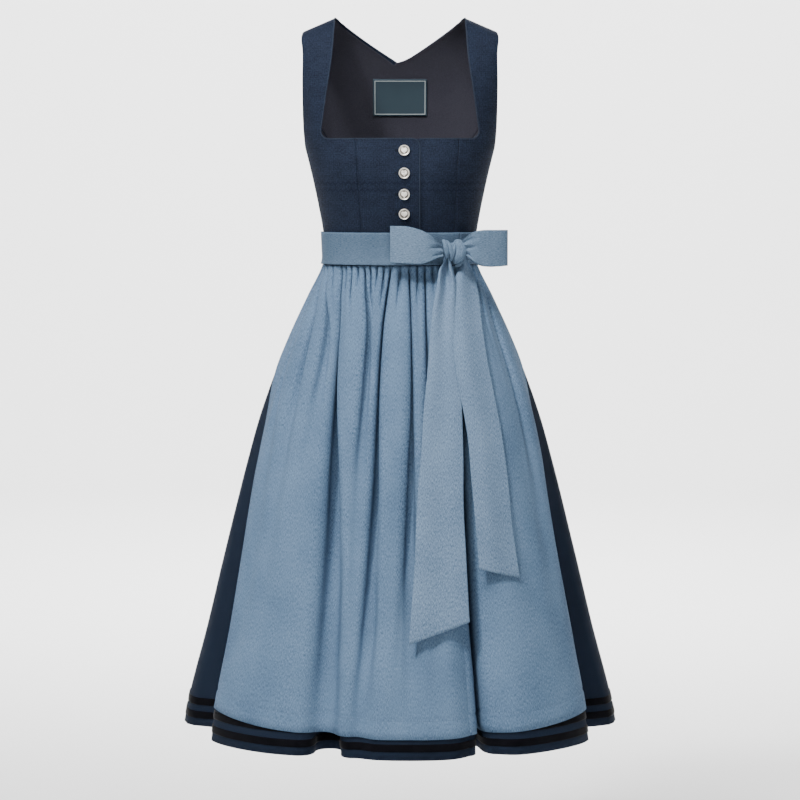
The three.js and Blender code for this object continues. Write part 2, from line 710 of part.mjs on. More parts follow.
// A knot of wrapped cloth: a rounded lump with slanting wraps.
function knotGeometry() {
  const rounds = 16;
  const rings = 8;
  const positions = [];
  const index = [];
  const place3 = (polar, around) => {
    const wrap = 1 + 0.07 * Math.cos(3 * around + 2.2 * Math.cos(polar)) * Math.sin(polar);
    const across = signedPower(Math.sin(polar) * Math.cos(around), 0.85) * wrap;
    const out = signedPower(Math.sin(polar) * Math.sin(around), 0.85) * wrap;
    return [across * knot.wide / 2, out * knot.deep / 2, signedPower(Math.cos(polar), 0.85) * knot.high / 2];
  };
  const normal = new THREE.Vector3(0.517, -0.856, 0);
  const alongBand = new THREE.Vector3(0.856, 0.517, 0);
  const onCrest = new THREE.Vector3(knot.x, -crestForward(knot.x, knot.z), knot.z);
  const centre = onCrest.addScaledVector(normal, knot.out);
  const add = ([across, out, up]) => {
    const point = centre.clone().addScaledVector(alongBand, across).addScaledVector(normal, out);
    positions.push(point.x, point.y, point.z + up);
  };
  add(place3(0, 0));
  for (let ring = 1; ring < rings; ring += 1) {
    for (let k = 0; k < rounds; k += 1) add(place3((Math.PI * ring) / rings, (2 * Math.PI * k) / rounds));
  }
  add(place3(Math.PI, 0));
  const at = (ring, k) => 1 + (ring - 1) * rounds + (k % rounds);
  const bottom = positions.length / 3 - 1;
  for (let k = 0; k < rounds; k += 1) {
    index.push(0, at(1, k), at(1, k + 1), bottom, at(rings - 1, k + 1), at(rings - 1, k));
    for (let ring = 1; ring < rings - 1; ring += 1) {
      index.push(at(ring, k), at(ring + 1, k), at(ring + 1, k + 1));
      index.push(at(ring, k), at(ring + 1, k + 1), at(ring, k + 1));
    }
  }
  return closedGeometry(positions, index);
}

// Tails of the bow: the edges' widths x down the length, and the height over the apron's crests.
const tails = [
  {
    name: 'bow_tail_right',
    rows: table(['z', 'near', 'far', 'lift'], [
      [-384, 67, 87, 7], [-404, 59, 85, 6.5], [-443, 51, 86, 6], [-490, 46, 88, 6], [-543, 42, 92, 6],
      [-590, 37, 95, 6], [-665, 32, 97, 6], [-738, 26, 97, 6], [-824, 22, 101, 6], [-945, 13.5, 107, 6],
    ]),
    cutNear: -943,
    cutFar: -912,
    ripple: 2.2,
  },
  {
    name: 'bow_tail_left',
    rows: table(['z', 'near', 'far', 'lift'], [
      [-384, 92, 106, 9.5], [-404, 82, 117, 9.5], [-432, 79, 122, 9.5], [-482, 82, 130, 9.5],
      [-528, 85, 137, 9.5], [-575, 93, 146, 9], [-640, 104, 158, 8.5], [-700, 109, 166, 8],
      [-775, 116, 173, 7.5], [-855, 122, 184, 7],
    ]),
    cutNear: -835,
    cutFar: -853,
    ripple: 2.6,
  },
];

function tailGeometry(tail) {
  const raw = (down, across) => {
    const top = tail.rows[0].z;
    const z = mix(top, mix(tail.cutNear, tail.cutFar, across), down);
    const x = mix(atHeight(tail.rows, 'near', z), atHeight(tail.rows, 'far', z), across);
    const wave = tail.ripple * (Math.cos(across * 4 * Math.PI) + 1) * (1 - down) ** 2 * 0.5;
    const forward = crestForward(x, z) + atHeight(tail.rows, 'lift', z) + wave;
    return new THREE.Vector3(x, -forward, z);
  };
  const surface = (down, across, out) => movedOut(raw, down, across, 0.002, -0.002, out);
  const downPlaces = [0, 0.04, 0.09, 0.16, 0.25, 0.36, 0.5, 0.66, 0.83, 1];
  return sheetWall(surface, downPlaces, steps(0, 1, 8), 0, bowWall);
}

// ---------------------------------------------------------------- buttons and label

const button = { across: 19, rim: 1.6, thick: 3.4, clear: 0.65, heights: [-200, -235, -267.5, -298] };

function buttonMesh(number, z) {
  const half = button.across / 2;
  const profile = [
    [0, 0], [half - 1, 0], [half, 0.8], [half, 2.2], [half - 0.6, button.thick - 0.4],
    [half - button.rim, button.thick - 0.4], [half - button.rim - 0.7, 2.2], [half * 0.5, 2.9], [0, 3.1],
  ].map(([radius, height]) => new THREE.Vector2(radius, height));
  const at = torsoPlace(placket.buttonLine, z);
  const base = torsoPoint(at.turn, at.level, button.clear);
  const normal = torsoPoint(at.turn, at.level, 2).sub(torsoPoint(at.turn, at.level, 1)).normalize();
  const mesh = makeMesh(`button_${number}`, new THREE.LatheGeometry(profile, 12), colours.metal, 0.35, 0.9);
  mesh.position.copy(base);
  mesh.quaternion.setFromUnitVectors(new THREE.Vector3(0, 1, 0), normal);
  return mesh;
}

const label = { wide: 84, high: 56, middle: -111 };
const labelOut = -(bodiceWall + liningGap + liningWall + labelGap);

function labelGeometry() {
  const surface = (x, z, out) => {
    const at = torsoPlace(x, z, true);
    return torsoPoint(at.turn, at.level, labelOut + out);
  };
  const across = steps(-label.wide / 2, label.wide / 2, 6).map((x) => (Math.abs(x) < 0.01 ? 0.01 : x));
  const heights = steps(label.middle + label.high / 2, label.middle - label.high / 2, 3);
  return sheetWall(surface, across, heights, 0, labelWall);
}

// ---------------------------------------------------------------- the dress

const group = new THREE.Group();
const add = (name, geometry, colour) => group.add(makeMesh(name, geometry, colour));

const straightDown = (x, drop) => ({ top: x, middle: x, bottom: x, drop });
const overlapEdge = straightDown(placket.overlapEdge, 7);
const underEdge = straightDown(placket.underEdge, 0);
const centreRight = frontCentreEdges(princessRight, overlapEdge, gapTurn, 0, 1.5);
const centreLeft = frontCentreEdges(underEdge, princessLeft, 0, -gapTurn, 0);
const sideRight = frontSideEdges(-1, princessRight);
const sideLeft = frontSideEdges(1, princessLeft);
const acrossSide = steps(0, 1, 5);
add('front_centre_right', panelWall(centreRight, steps(0, 1, 8), 8, 0, bodiceWall), colours.bodice);
add('front_centre_left', panelWall(centreLeft, steps(0, 1, 9), 8, underOverlap, bodiceWall), colours.bodice);
add('front_side_right', panelWall(sideRight, acrossSide, 20, 0, bodiceWall), colours.bodice);
add('front_side_left', panelWall(sideLeft, acrossSide, 20, 0, bodiceWall), colours.bodice);

// The back's panels, each with its own lining on the inside.
const backPanels = [
  { name: 'back_centre', edges: backEdges(backCentreSides()), across: acrossBack(14), rows: 16 },
  { name: 'back_side_right', edges: backSideEdges(-1), across: acrossSide, rows: 8 },
  { name: 'back_side_left', edges: backSideEdges(1), across: acrossSide, rows: 8 },
];
const liningOut = -(bodiceWall + liningGap);
backPanels.forEach(({ name, edges, across, rows }) => {
  add(name, panelWall(edges, across, rows, 0, bodiceWall), colours.bodice);
  add(`lining_${name}`, panelWall(edges, across, rows, liningOut, liningWall), colours.lining);
});
add('label', labelGeometry(), colours.label);
button.heights.forEach((z, i) => group.add(buttonMesh(i + 1, z)));

const frontSurface = skirtSurface(frontThreads);
const backSurface = skirtSurface(backThreads);
const apronColumns = columnsByBend(apronSurface, apronThreads.length, bendRows, 62);
const beyondApron = apronThreads.length;
const frontColumns = [0, 0.3, 0.65, ...apronColumns.map((thread) => thread + 1), beyondApron + 0.35,
  beyondApron + 0.7, beyondApron + 1];
const backColumns = columnsByBend(backSurface, backThreads.length, bendRows, 62);
add('skirt_front', sheetWall(frontSurface, frontColumns, skirtRows, 0, skirtWall), colours.skirt);
add('skirt_back', sheetWall(backSurface, backColumns, skirtRows, 0, skirtWall), colours.skirt);

// Two velvet bands run round the skirt above its hem.
const velvetRows = { lower: [-1100, -1089], upper: [-1079, -1068] };
for (const [level, heights] of Object.entries(velvetRows)) {
  const out = velvetGap + velvetWall;
  const ribbon = (surface, columns) => sheetWall(surface, columns, heights, out, velvetWall);
  add(`velvet_${level}_front`, ribbon(frontSurface, frontColumns), colours.velvet);
  add(`velvet_${level}_back`, ribbon(backSurface, backColumns), colours.velvet);
}

const apronRows = [bandBottom - seamGap - 0.2, ...skirtRows.slice(2)];
add('apron', sheetWall(apronSurface, apronColumns, apronRows, 0, apronWall), colours.apron);

// The band meets end to end under the knot.
const bandTurns = steps(47.1, 406.9, 40);
const band = sheetWall(bandSurface, bandTurns, [bandTop, bandBottom], bandLift, bandWall);
add('waistband', band, colours.apron);
loops.forEach((loop) => add(loop.name, loopGeometry(loop), colours.apron));
add('bow_knot', knotGeometry(), colours.apron);
tails.forEach((tail) => add(tail.name, tailGeometry(tail), colours.apron));

export default group;
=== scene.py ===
import bpy
import numpy as np
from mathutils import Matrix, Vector


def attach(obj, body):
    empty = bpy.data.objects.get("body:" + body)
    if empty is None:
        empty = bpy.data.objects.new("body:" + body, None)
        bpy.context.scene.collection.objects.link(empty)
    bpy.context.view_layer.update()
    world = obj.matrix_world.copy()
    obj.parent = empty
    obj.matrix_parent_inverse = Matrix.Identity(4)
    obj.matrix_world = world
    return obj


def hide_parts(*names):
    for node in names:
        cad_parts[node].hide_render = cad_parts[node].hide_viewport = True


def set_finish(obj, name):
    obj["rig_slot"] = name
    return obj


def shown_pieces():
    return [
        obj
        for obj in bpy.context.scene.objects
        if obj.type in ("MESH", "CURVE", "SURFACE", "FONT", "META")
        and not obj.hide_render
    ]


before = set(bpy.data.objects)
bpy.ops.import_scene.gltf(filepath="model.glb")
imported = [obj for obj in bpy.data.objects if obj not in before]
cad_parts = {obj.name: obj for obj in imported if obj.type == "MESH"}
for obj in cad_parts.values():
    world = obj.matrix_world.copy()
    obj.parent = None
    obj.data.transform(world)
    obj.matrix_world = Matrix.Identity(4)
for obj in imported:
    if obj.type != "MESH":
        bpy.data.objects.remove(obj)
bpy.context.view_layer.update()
mm = 0.001
print("dirndl: frame loaded")


def curveThrough(places, values, at):
    # Hermite curve through the table, whose slopes are rise over run between the two neighbours
    places, values = np.asarray(places, float), np.asarray(values, float)
    slopes = np.empty_like(values)
    slopes[1:-1] = (values[2:] - values[:-2]) / (places[2:] - places[:-2])
    slopes[0] = (values[1] - values[0]) / (places[1] - places[0])
    slopes[-1] = (values[-1] - values[-2]) / (places[-1] - places[-2])
    at = np.clip(at, places[0], places[-1])
    i = np.clip(np.searchsorted(places, at, side="right") - 1, 0, len(places) - 2)
    step = places[i + 1] - places[i]
    t = (at - places[i]) / step
    rise = t * t * (3 - 2 * t)
    return (values[i] * (1 - rise) + values[i + 1] * rise
            + step * (slopes[i] * t * (1 - t) ** 2 - slopes[i + 1] * t * t * (1 - t)))


def ease(value):
    # smooth step: 3 v^2 - 2 v^3 between 0 and 1
    value = np.clip(value, 0, 1)
    return value * value * (3 - 2 * value)


def mix(a, b, share):
    return a + (b - a) * share


def signedPower(value, power):
    return np.sign(value) * np.abs(value) ** power


def fullTurn(count):
    # even angles round a circle, in radians
    return np.linspace(0, 2 * np.pi, count, endpoint=False)


def unit(vectors):
    return vectors / np.maximum(np.linalg.norm(vectors, axis=-1, keepdims=True), 1e-9)


def pathLengths(path):
    # the length of the path up to each of its points
    return np.concatenate([[0], np.cumsum(np.linalg.norm(np.diff(path, axis=0), axis=1))])


def pointsAt(at, lengths, path):
    # the points of the path at those lengths along it
    return np.stack([np.interp(at, lengths, path[:, k]) for k in range(3)], -1)


def columnsOf(names, rows):
    # a table's columns by their names
    return dict(zip(names.split(), np.array(rows, float).T))


# A surface is a grid of points: its rows run down and its columns towards larger turns.
def gridNormals(points):
    # cross product of the steps down and across
    return unit(np.cross(np.gradient(points, axis=0), np.gradient(points, axis=1)))


def movedOut(points, distance):
    # each point moved along its normal, by one distance for all or one for each
    distance = np.asarray(distance, float)
    return points + gridNormals(points) * (distance[..., None] if distance.ndim == 2 else distance)


def clothMap(points):
    # u is the mean length across and v the mean length down, in metres of cloth
    acrossSteps = np.linalg.norm(np.diff(points, axis=1), axis=-1).mean(0)
    downSteps = np.linalg.norm(np.diff(points, axis=0), axis=-1).mean(1)
    u = np.concatenate([[0], np.cumsum(acrossSteps)]) * mm
    v = np.concatenate([[0], np.cumsum(downSteps)]) * mm
    return np.stack(np.meshgrid(u, v), -1)


def cellFaces(number):
    # the four corners of each cell in a grid of vertex numbers
    corners = [number[:-1, :-1], number[1:, :-1], number[1:, 1:], number[:-1, 1:]]
    return np.stack(corners, -1).reshape(-1, 4)


def gridFaces(rows, columns):
    return cellFaces(np.arange(rows * columns).reshape(rows, columns))


def ringNumbers(rings, sides):
    # vertex numbers ring by ring, with the first of each ring again at its end
    number = np.arange(rings * sides).reshape(rings, sides)
    return np.concatenate([number, number[:, :1]], axis=1)


facingOut = [0, 3, 2, 1]    # the order of a cell's corners that faces a ring's cells outwards


def endFans(number, head):
    # triangles from the points head and head + 1 to the first and to the last ring
    heads = np.full(number.shape[1] - 1, head)
    return np.concatenate([np.stack([heads, number[0, 1:], number[0, :-1]], -1),
                           np.stack([heads + 1, number[-1, :-1], number[-1, 1:]], -1)])


def meshPiece(name, vertices, faces, uvs):
    # faces is a list of arrays, such as one of quads and one of triangles
    mesh = bpy.data.meshes.new(name)
    corners = [face for part in faces for face in part.tolist()]
    mesh.from_pydata((np.asarray(vertices) * mm).tolist(), [], corners)
    loops = np.empty(len(mesh.loops), dtype=np.int32)
    mesh.loops.foreach_get("vertex_index", loops)
    layer = mesh.uv_layers.new(name="cloth")
    layer.data.foreach_set("uv", np.asarray(uvs)[loops].ravel().astype(np.float32))
    mesh.polygons.foreach_set("use_smooth", np.full(len(mesh.polygons), True))
    piece = bpy.data.objects.new(name, mesh)
    bpy.context.scene.collection.objects.link(piece)
    return piece


def clothPiece(name, points, thick, uv=None, middle=None):
    # a sheet that faces away from the middle, with its thickness on the inner side
    uv = clothMap(points) if uv is None else uv
    if middle is not None:
        facing = ((points - np.array(middle, float)) * gridNormals(points)).sum(-1).mean()
        if facing < 0:
            points, uv = points[:, ::-1], uv[:, ::-1]
    piece = meshPiece(name, points.reshape(-1, 3), [gridFaces(*points.shape[:2])], uv.reshape(-1, 2))
    wall = piece.modifiers.new("thickness", "SOLIDIFY")
    wall.thickness = thick * mm
    wall.offset = -1
    return piece


def putOn(piece, slot, *nodes):
    # rides on the one body, takes the slot's finish and stands for the nodes
    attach(piece, "root")
    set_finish(piece, slot)
    if nodes:
        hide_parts(*nodes)
    return piece


def tubePiece(name, path, radius, sides=10, closed=False):
    # circles carried along the path, square to it, with a point that closes each end
    path = np.asarray(path, float)
    along = unit(np.roll(path, -1, 0) - np.roll(path, 1, 0) if closed else np.gradient(path, axis=0))
    slanting = [0.13, 0.37, 0.92]    # no path here runs this way
    first = unit(np.cross(along, slanting))
    second = np.cross(along, first)
    angle = fullTurn(sides)[None, :, None]
    radius = np.broadcast_to(radius, (len(path),))[:, None, None]
    rings = path[:, None] + (first[:, None] * np.cos(angle) + second[:, None] * np.sin(angle)) * radius
    roundWidth = 0.006
    across = np.broadcast_to(np.linspace(0, 1, sides), (len(path), sides)) * roundWidth
    lengths = np.broadcast_to(pathLengths(path)[:, None] * mm, across.shape)
    uvs = np.stack([across, lengths], -1).reshape(-1, 2)
    number = ringNumbers(len(path), sides)
    if closed:
        number = np.concatenate([number, number[:1]])
    vertices = rings.reshape(-1, 3)
    faces = [cellFaces(number)[:, facingOut]]
    if not closed:
        faces.append(endFans(number, len(vertices)))
        vertices = np.concatenate([vertices, path[:1], path[-1:]])
        uvs = np.concatenate([uvs, uvs[:1], uvs[-1:]])
    return meshPiece(name, vertices, faces, uvs)


def stitchRow(name, path, normals, length=2.6, gap=1.1, wide=0.42, high=0.28):
    # small rounded threads along a path: each a six-sided spindle that stands on its cloth
    path = np.asarray(path, float)
    lengths = pathLengths(path)
    count = max(int(lengths[-1] / (length + gap)), 1)
    starts = np.arange(count) * (length + gap) + gap / 2
    profile = np.array([0, 0.12, 0.5, 0.88, 1])
    swell = np.array([0.35, 0.85, 1, 0.85, 0.35])
    at = starts[:, None] + profile * length
    centre = pointsAt(at, lengths, path)
    normal = unit(pointsAt(at, lengths, normals))
    side = np.cross(unit(np.gradient(centre, axis=1)), normal)
    sides = 6
    angle = fullTurn(sides)[None, None, :, None]
    ring = side[:, :, None] * np.cos(angle) * wide / 2 + normal[:, :, None] * np.sin(angle) * high / 2
    lift = normal * (high * 0.35 * np.sin(np.pi * profile)[None, :, None])
    points = centre[:, :, None] + lift[:, :, None] + ring * swell[None, :, None, None]
    number = ringNumbers(count * len(profile), sides).reshape(count, len(profile), sides + 1)
    quads = np.concatenate([cellFaces(spindle)[:, facingOut] for spindle in number])
    caps = np.concatenate([number[:, 0, sides - 1::-1], number[:, -1, :sides]])
    vertices = points.reshape(-1, 3)
    return meshPiece(name, vertices, [quads, caps], vertices[:, :2] * mm)


# The worn bodice: rows of its sections from the shoulders to the waist.
torso = columnsOf("z half front back square shoulder", [
    [0, 176, 0, 0, 5, 1],
    [-5, 175.5, 22, 23, 4.6, 0.95],
    [-18, 174, 42, 44, 4.1, 0.7],
    [-44, 170, 63, 65, 3.4, 0.35],
    [-90, 166, 84, 84, 2.9, 0],
    [-140, 160, 96, 92, 2.6, 0],
    [-181, 154, 103, 95, 2.4, 0],
    [-205, 148, 107, 95, 2.35, 0],
    [-240, 139.5, 110, 92, 2.3, 0],
    [-285, 130, 104, 86, 2.2, 0],
    [-327, 122.5, 95, 82, 2.15, 0],
    [-350, 121.5, 93, 82, 2.15, 0],
])
bodice = {
    "wall": 1.2,            # cloth and lining together
    "seamGap": 0.3,
    "bust": {"x": 74, "z": -222, "out": 7, "wide": 36, "high": 42},
    "shoulderMiddle": 129,
    "shoulderSlope": 0.43,
    "shoulderInner": 103.3,
    "waistSeam": -350,
    "necklineFront": -181.5,
    "necklineBack": -59,
    "necklinePeak": 11,
    "overlapEdge": 31,      # the right front laps over the left one to here
    "underEdge": -4,
    "buttonLine": 6.5,
}
lastLevel = len(torso["z"]) - 1
levels = np.arange(lastLevel + 1)


def torsoRaw(turn, level):
    # section of each level: half * sin^(2/square) across, deep * cos^(2/square) forward, plus the bust
    turn, level = np.broadcast_arrays(np.asarray(turn, float), np.asarray(level, float))
    column = {name: curveThrough(levels, values, level) for name, values in torso.items()}
    sine, cosine = np.sin(np.radians(turn)), np.cos(np.radians(turn))
    power = 2 / column["square"]
    deep = np.maximum(np.where(cosine > 0, column["front"], column["back"]), 0.01)
    x = column["half"] * signedPower(sine, power)
    forward = deep * signedPower(cosine, power)
    outward = np.maximum(np.abs(x) - bodice["shoulderMiddle"], -40)
    z = column["z"] - bodice["shoulderSlope"] * column["shoulder"] * outward
    bust = bodice["bust"]
    cup = bust["out"] * np.exp(-((np.abs(x) - bust["x"]) / bust["wide"]) ** 2
                               - ((z - bust["z"]) / bust["high"]) ** 2)
    return np.stack([x, -forward - np.where(cosine > 0, cup, 0), z], -1)


def torsoPoints(turn, level, out):
    # the point, moved out by the cross product of small steps of turn and level
    alongTurn = torsoRaw(turn + 0.05, level) - torsoRaw(turn - 0.05, level)
    alongLevel = torsoRaw(turn, level - 0.01) - torsoRaw(turn, level + 0.01)
    normals = unit(np.cross(alongTurn, alongLevel))
    return torsoRaw(turn, level) + normals * np.asarray(out, float)[..., None]


def levelAt(turn, z):
    # halves the range of levels until the surface has that height
    turn, z = np.broadcast_arrays(np.asarray(turn, float), np.asarray(z, float))
    top, bottom = np.zeros(z.shape), np.full(z.shape, float(lastLevel))
    for _ in range(30):
        half = (top + bottom) / 2
        above = torsoRaw(turn, half)[..., 2] > z
        top, bottom = np.where(above, half, top), np.where(above, bottom, half)
    return (top + bottom) / 2


def placeAt(x, z, behind=False):
    # the turn and level of the surface point with that width and height
    x, z = np.broadcast_arrays(np.asarray(x, float), np.asarray(z, float))
    turn = np.where(x < 0, -45.0, 45.0)
    for _ in range(12):
        level = levelAt(180 - turn if behind else turn, z)
        half = curveThrough(levels, torso["half"], level)
        square = curveThrough(levels, torso["square"], level)
        share = np.minimum(np.abs(x) / half, 1)
        turn = np.sign(x) * np.degrees(np.arcsin(share ** (square / 2)))
    return np.stack([180 - turn if behind else turn, level], -1)


def strapTurn(width):
    # the turn at the shoulder where the section is that wide: sin(turn)^(2/square) = width / half
    share = width / torso["half"][0]
    return np.degrees(np.arcsin(share ** (torso["square"][0] / 2)))


def edgeThrough(shares, places):
    # an edge of a panel as a function of its share: straight between its places
    shares, places = np.asarray(shares, float), np.asarray(places, float)
    return lambda t: np.stack([np.interp(t, shares, places[:, 0]), np.interp(t, shares, places[:, 1])], -1)


def panelPlaces(edges, s, t, power=1.0):
    # Coons patch: across between two edges, plus along between the others, minus the corners' mix.
    # A power above 1 keeps the shape of the upper edge to the upper part.
    bottom, top = edges["bottom"](s)[None], edges["top"](s)[None]
    inner, outer = edges["inner"](t)[:, None], edges["outer"](t)[:, None]
    s, t = s[None, :, None], t[:, None, None]
    up = t ** power
    corners = mix(mix(bottom[:, :1], bottom[:, -1:], s), mix(top[:, :1], top[:, -1:], s), up)
    return mix(bottom, top, up) + mix(inner, outer, s) - corners


# Seams as turns or widths at heights, with the panels a seam gap apart.
princess = {
    "heights": [-350, -260, -181.5],
    "right": [-59, -65, -69],
    "left": [83, 89, 92],
    "backTurns": [158, 154, 146, 131, 113],
    "backHeights": [-350, -290, -230, -170, -125],
}
armholes = {
    "frontShares": [0.4, 0.47, 0.54, 0.62, 0.74, 0.86, 0.94, 1],
    "frontTurns": [90, 81, 75.5, 70, 63.5, 56.5, 50.5, 44],
    "frontHeights": [-203, -188, -165, -135, -92, -46, -20, 0],
    "backTurns": [90, 97, 105, 113, 118.5, 124, 130, 136],
    "backHeights": [-203, -190, -160, -125, -90, -46, -18, 0],
}
neckline = {"cornerX": 112, "cornerRadius": 12, "x": [124, 117, 107.5, 103.3], "z": [-169.5, -120, -56, 0]}
# Half the gaps between panels, the shares at which a front side's edge ends its seam, starts round the
# neckline's corner and leaves it, and the share of the back centre's top edge that crosses one strap.
gapTurn, gapLevel, shoulderGap = 0.025, 0.005, 0.004
seamShare, arcStart, arcEnd = 0.4, 0.47, 0.53
strapShare = 0.3
edgePlaces = 12
waistLevel = lastLevel - gapLevel
waistLine = bodice["waistSeam"] + bodice["seamGap"]


def armholeLevels(turns, heights):
    # the levels at those heights, and 0 at the shoulder itself
    found = levelAt(turns, heights)
    return np.where(np.asarray(heights) == 0, 0, found)


def neckPlaces(side, top):
    # along the front neckline to the corner's arc, then up the strap's inner edge
    arc = np.radians(np.linspace(-90, 0, 9))
    radius = neckline["cornerRadius"]
    z = np.linspace(neckline["z"][0], -2, 16)[1:]
    x = np.concatenate([
        np.linspace(top, side * neckline["cornerX"], 6)[:-1] * side,
        neckline["cornerX"] + radius * np.cos(arc),
        curveThrough(neckline["z"], neckline["x"], z),
    ])
    heights = np.concatenate([
        np.full(5, bodice["necklineFront"]),
        bodice["necklineFront"] + radius * (1 + np.sin(arc)),
        z,
    ])
    shares = np.concatenate([np.linspace(seamShare, arcStart, 6)[:-1], np.linspace(arcStart, arcEnd, 9),
                             np.linspace(arcEnd, 1, 17)[1:-1]])
    return shares, placeAt(side * x, heights)


def frontSideEdges(side, line):
    # from the princess seam, the neckline's corner and the strap to the side seam and the armhole
    shift = np.array([side * gapTurn, 0])
    z = np.linspace(waistLine, bodice["necklineFront"], edgePlaces)
    seam = placeAt(curveThrough(princess["heights"], line, z), z) + shift
    neckShares, neck = neckPlaces(side, line[-1])
    top = [[side * strapTurn(bodice["shoulderInner"]), shoulderGap]]
    inner = edgeThrough(np.concatenate([np.linspace(0, seamShare, edgePlaces), neckShares[1:], [1]]),
                        np.concatenate([seam, neck[1:], top]))
    shares = np.linspace(seamShare, 1, 40)
    turns = curveThrough(armholes["frontShares"], armholes["frontTurns"], shares)
    found = armholeLevels(armholes["frontTurns"], armholes["frontHeights"])
    arm = curveThrough(armholes["frontShares"], found, shares)
    outerPlaces = np.stack([side * (turns - gapTurn), np.maximum(arm, shoulderGap)], -1)
    outerPlaces = np.concatenate([[[side * (90 - gapTurn), waistLevel]], outerPlaces])
    outer = edgeThrough(np.concatenate([[0], shares]), outerPlaces)
    return {
        "inner": inner,
        "outer": outer,
        "bottom": edgeThrough([0, 1], [[inner(0)[0], waistLevel], [outer(0)[0], waistLevel]]),
        "top": edgeThrough([0, 1], [[inner(1)[0], shoulderGap], [outer(1)[0], shoulderGap]]),
    }


def frontCentreEdges(fromLine, toLine, fromShift, toShift, corner):
    # corner is the radius that rounds the overlap's upper corner
    z = np.linspace(waistLine, bodice["necklineFront"], edgePlaces)
    shares = np.linspace(0, 1, edgePlaces)
    lines = [curveThrough(princess["heights"], line, z) for line in (fromLine, toLine)]
    drop = np.zeros(edgePlaces)
    drop[-1] = corner
    inner = placeAt(lines[0], z) + [fromShift, 0]
    outer = placeAt(lines[1], z - drop) + [toShift, 0]
    width = toLine[-1] - fromLine[-1]
    arc = np.radians(np.linspace(90, 0, 10))
    across = np.linspace(0, 1 - corner / width, edgePlaces)
    x = np.concatenate([fromLine[-1] + width * across, toLine[-1] - corner + corner * np.cos(arc)[1:]])
    heights = np.concatenate([np.zeros(edgePlaces), corner * (np.sin(arc)[1:] - 1)])
    heights = heights + bodice["necklineFront"]
    if corner == 0:
        x = np.linspace(fromLine[-1], toLine[-1], edgePlaces)
        heights = np.full(edgePlaces, bodice["necklineFront"])
    topShares = (x - x[0]) / (x[-1] - x[0])
    top = placeAt(x, heights) + np.stack([mix(fromShift, toShift, topShares), 0 * topShares], -1)
    below = placeAt(np.linspace(fromLine[0], toLine[0], edgePlaces), np.full(edgePlaces, waistLine))
    below = below + np.stack([mix(fromShift, toShift, shares), 0 * shares], -1)
    return {
        "inner": edgeThrough(shares, inner),
        "outer": edgeThrough(shares, outer),
        "bottom": edgeThrough(shares, below),
        "top": edgeThrough(topShares, top),
    }


def backSeam(shift):
    # the back princess seam from the waist to the armhole
    heights = np.linspace(princess["backHeights"][0] + bodice["seamGap"], princess["backHeights"][-1], 24)
    turns = curveThrough(princess["backHeights"], princess["backTurns"], heights)
    return np.stack([turns + shift, np.minimum(levelAt(turns, heights), waistLevel)], -1)


def backSideEdges(gap=gapTurn):
    # the +X side, whose mirror image is the other one
    seam = backSeam(-gap)
    shares = np.linspace(0, 1, 24)
    knots = np.linspace(0, 1, 4)
    found = armholeLevels(armholes["backTurns"][:4], armholes["backHeights"][:4])
    arm = np.stack([curveThrough(knots, armholes["backTurns"][:4], shares),
                    curveThrough(knots, found, shares)], -1)
    arm[0, 0] += gapTurn
    arm[-1] = seam[-1]
    return {
        "inner": edgeThrough([0, 1], [[90 + gapTurn, waistLevel], arm[0]]),
        "outer": edgeThrough(shares, seam),
        "bottom": edgeThrough([0, 1], [[90 + gapTurn, waistLevel], [seam[0, 0], waistLevel]]),
        "top": edgeThrough(shares, arm),
    }


def backCentreEdges(gap=gapTurn):
    # up the seam and the armhole, over both straps with a V between them, and down again
    seam = backSeam(gap)
    turns, heights = armholes["backTurns"][3:], armholes["backHeights"][3:]
    knots = np.arange(len(turns))
    fine = np.linspace(0, knots[-1], 24)
    arm = np.stack([curveThrough(knots, turns, fine),
                    np.maximum(curveThrough(knots, armholeLevels(turns, heights), fine), shoulderGap)], -1)
    armShares = mix(0.5, 1, (arm[0, 1] - arm[:, 1]) / (arm[0, 1] - arm[-1, 1]))
    outer = np.concatenate([seam, arm[1:]])
    shares = np.concatenate([np.linspace(0, 0.5, len(seam)), armShares[1:]])
    down = np.linspace(0, 1, 14)[1:]
    z = mix(bodice["necklinePeak"], bodice["necklineBack"], down) - 2 * np.sin(down * np.pi)
    vee = placeAt(mix(bodice["shoulderInner"], 0, down), z, behind=True)
    vee[-1, 0] = 180
    start = [[outer[-1, 0], shoulderGap], [180 - strapTurn(bodice["shoulderInner"]), shoulderGap]]
    half = np.concatenate([start, vee])
    halfShares = np.concatenate([[0, strapShare], mix(strapShare, 0.5, down)])
    mirrored = np.stack([360 - half[:-1, 0], half[:-1, 1]], -1)[::-1]
    acrossMirror = np.stack([360 - outer[:, 0], outer[:, 1]], -1)
    return {
        "inner": edgeThrough(shares, outer),
        "outer": edgeThrough(shares, acrossMirror),
        "bottom": edgeThrough([0, 1], [[outer[0, 0], waistLevel], [360 - outer[0, 0], waistLevel]]),
        "top": edgeThrough(np.concatenate([halfShares, 1 - halfShares[-2::-1]]),
                           np.concatenate([half, mirrored])),
    }


def underOverlap(turn, level):
    # the left front runs beneath the overlap and rises to its neighbours' level beyond it
    x = torsoRaw(turn, level)[..., 0]
    beyond = ease((x - bodice["overlapEdge"] - 5) / 16)
    return -(bodice["wall"] + bodice["seamGap"] + 0.25) * (1 - beyond)


def seamDip(s, t, width, height, edges, dip):
    # cloth turns in, or a lining out, by the dip near its sewn edges: dip * exp(-(distance / wide)^2)
    farAway, wide = 99.0, 1.6
    distance = np.full(np.broadcast(s[None], t[:, None]).shape, farAway)
    for name, place in (("inner", s * width), ("outer", (1 - s) * width)):
        if name in edges:
            distance = np.minimum(distance, place[None])
    for name, place in (("bottom", t * height), ("top", (1 - t) * height)):
        if name in edges:
            distance = np.minimum(distance, place[:, None])
    return dip * np.exp(-(distance / wide) ** 2)


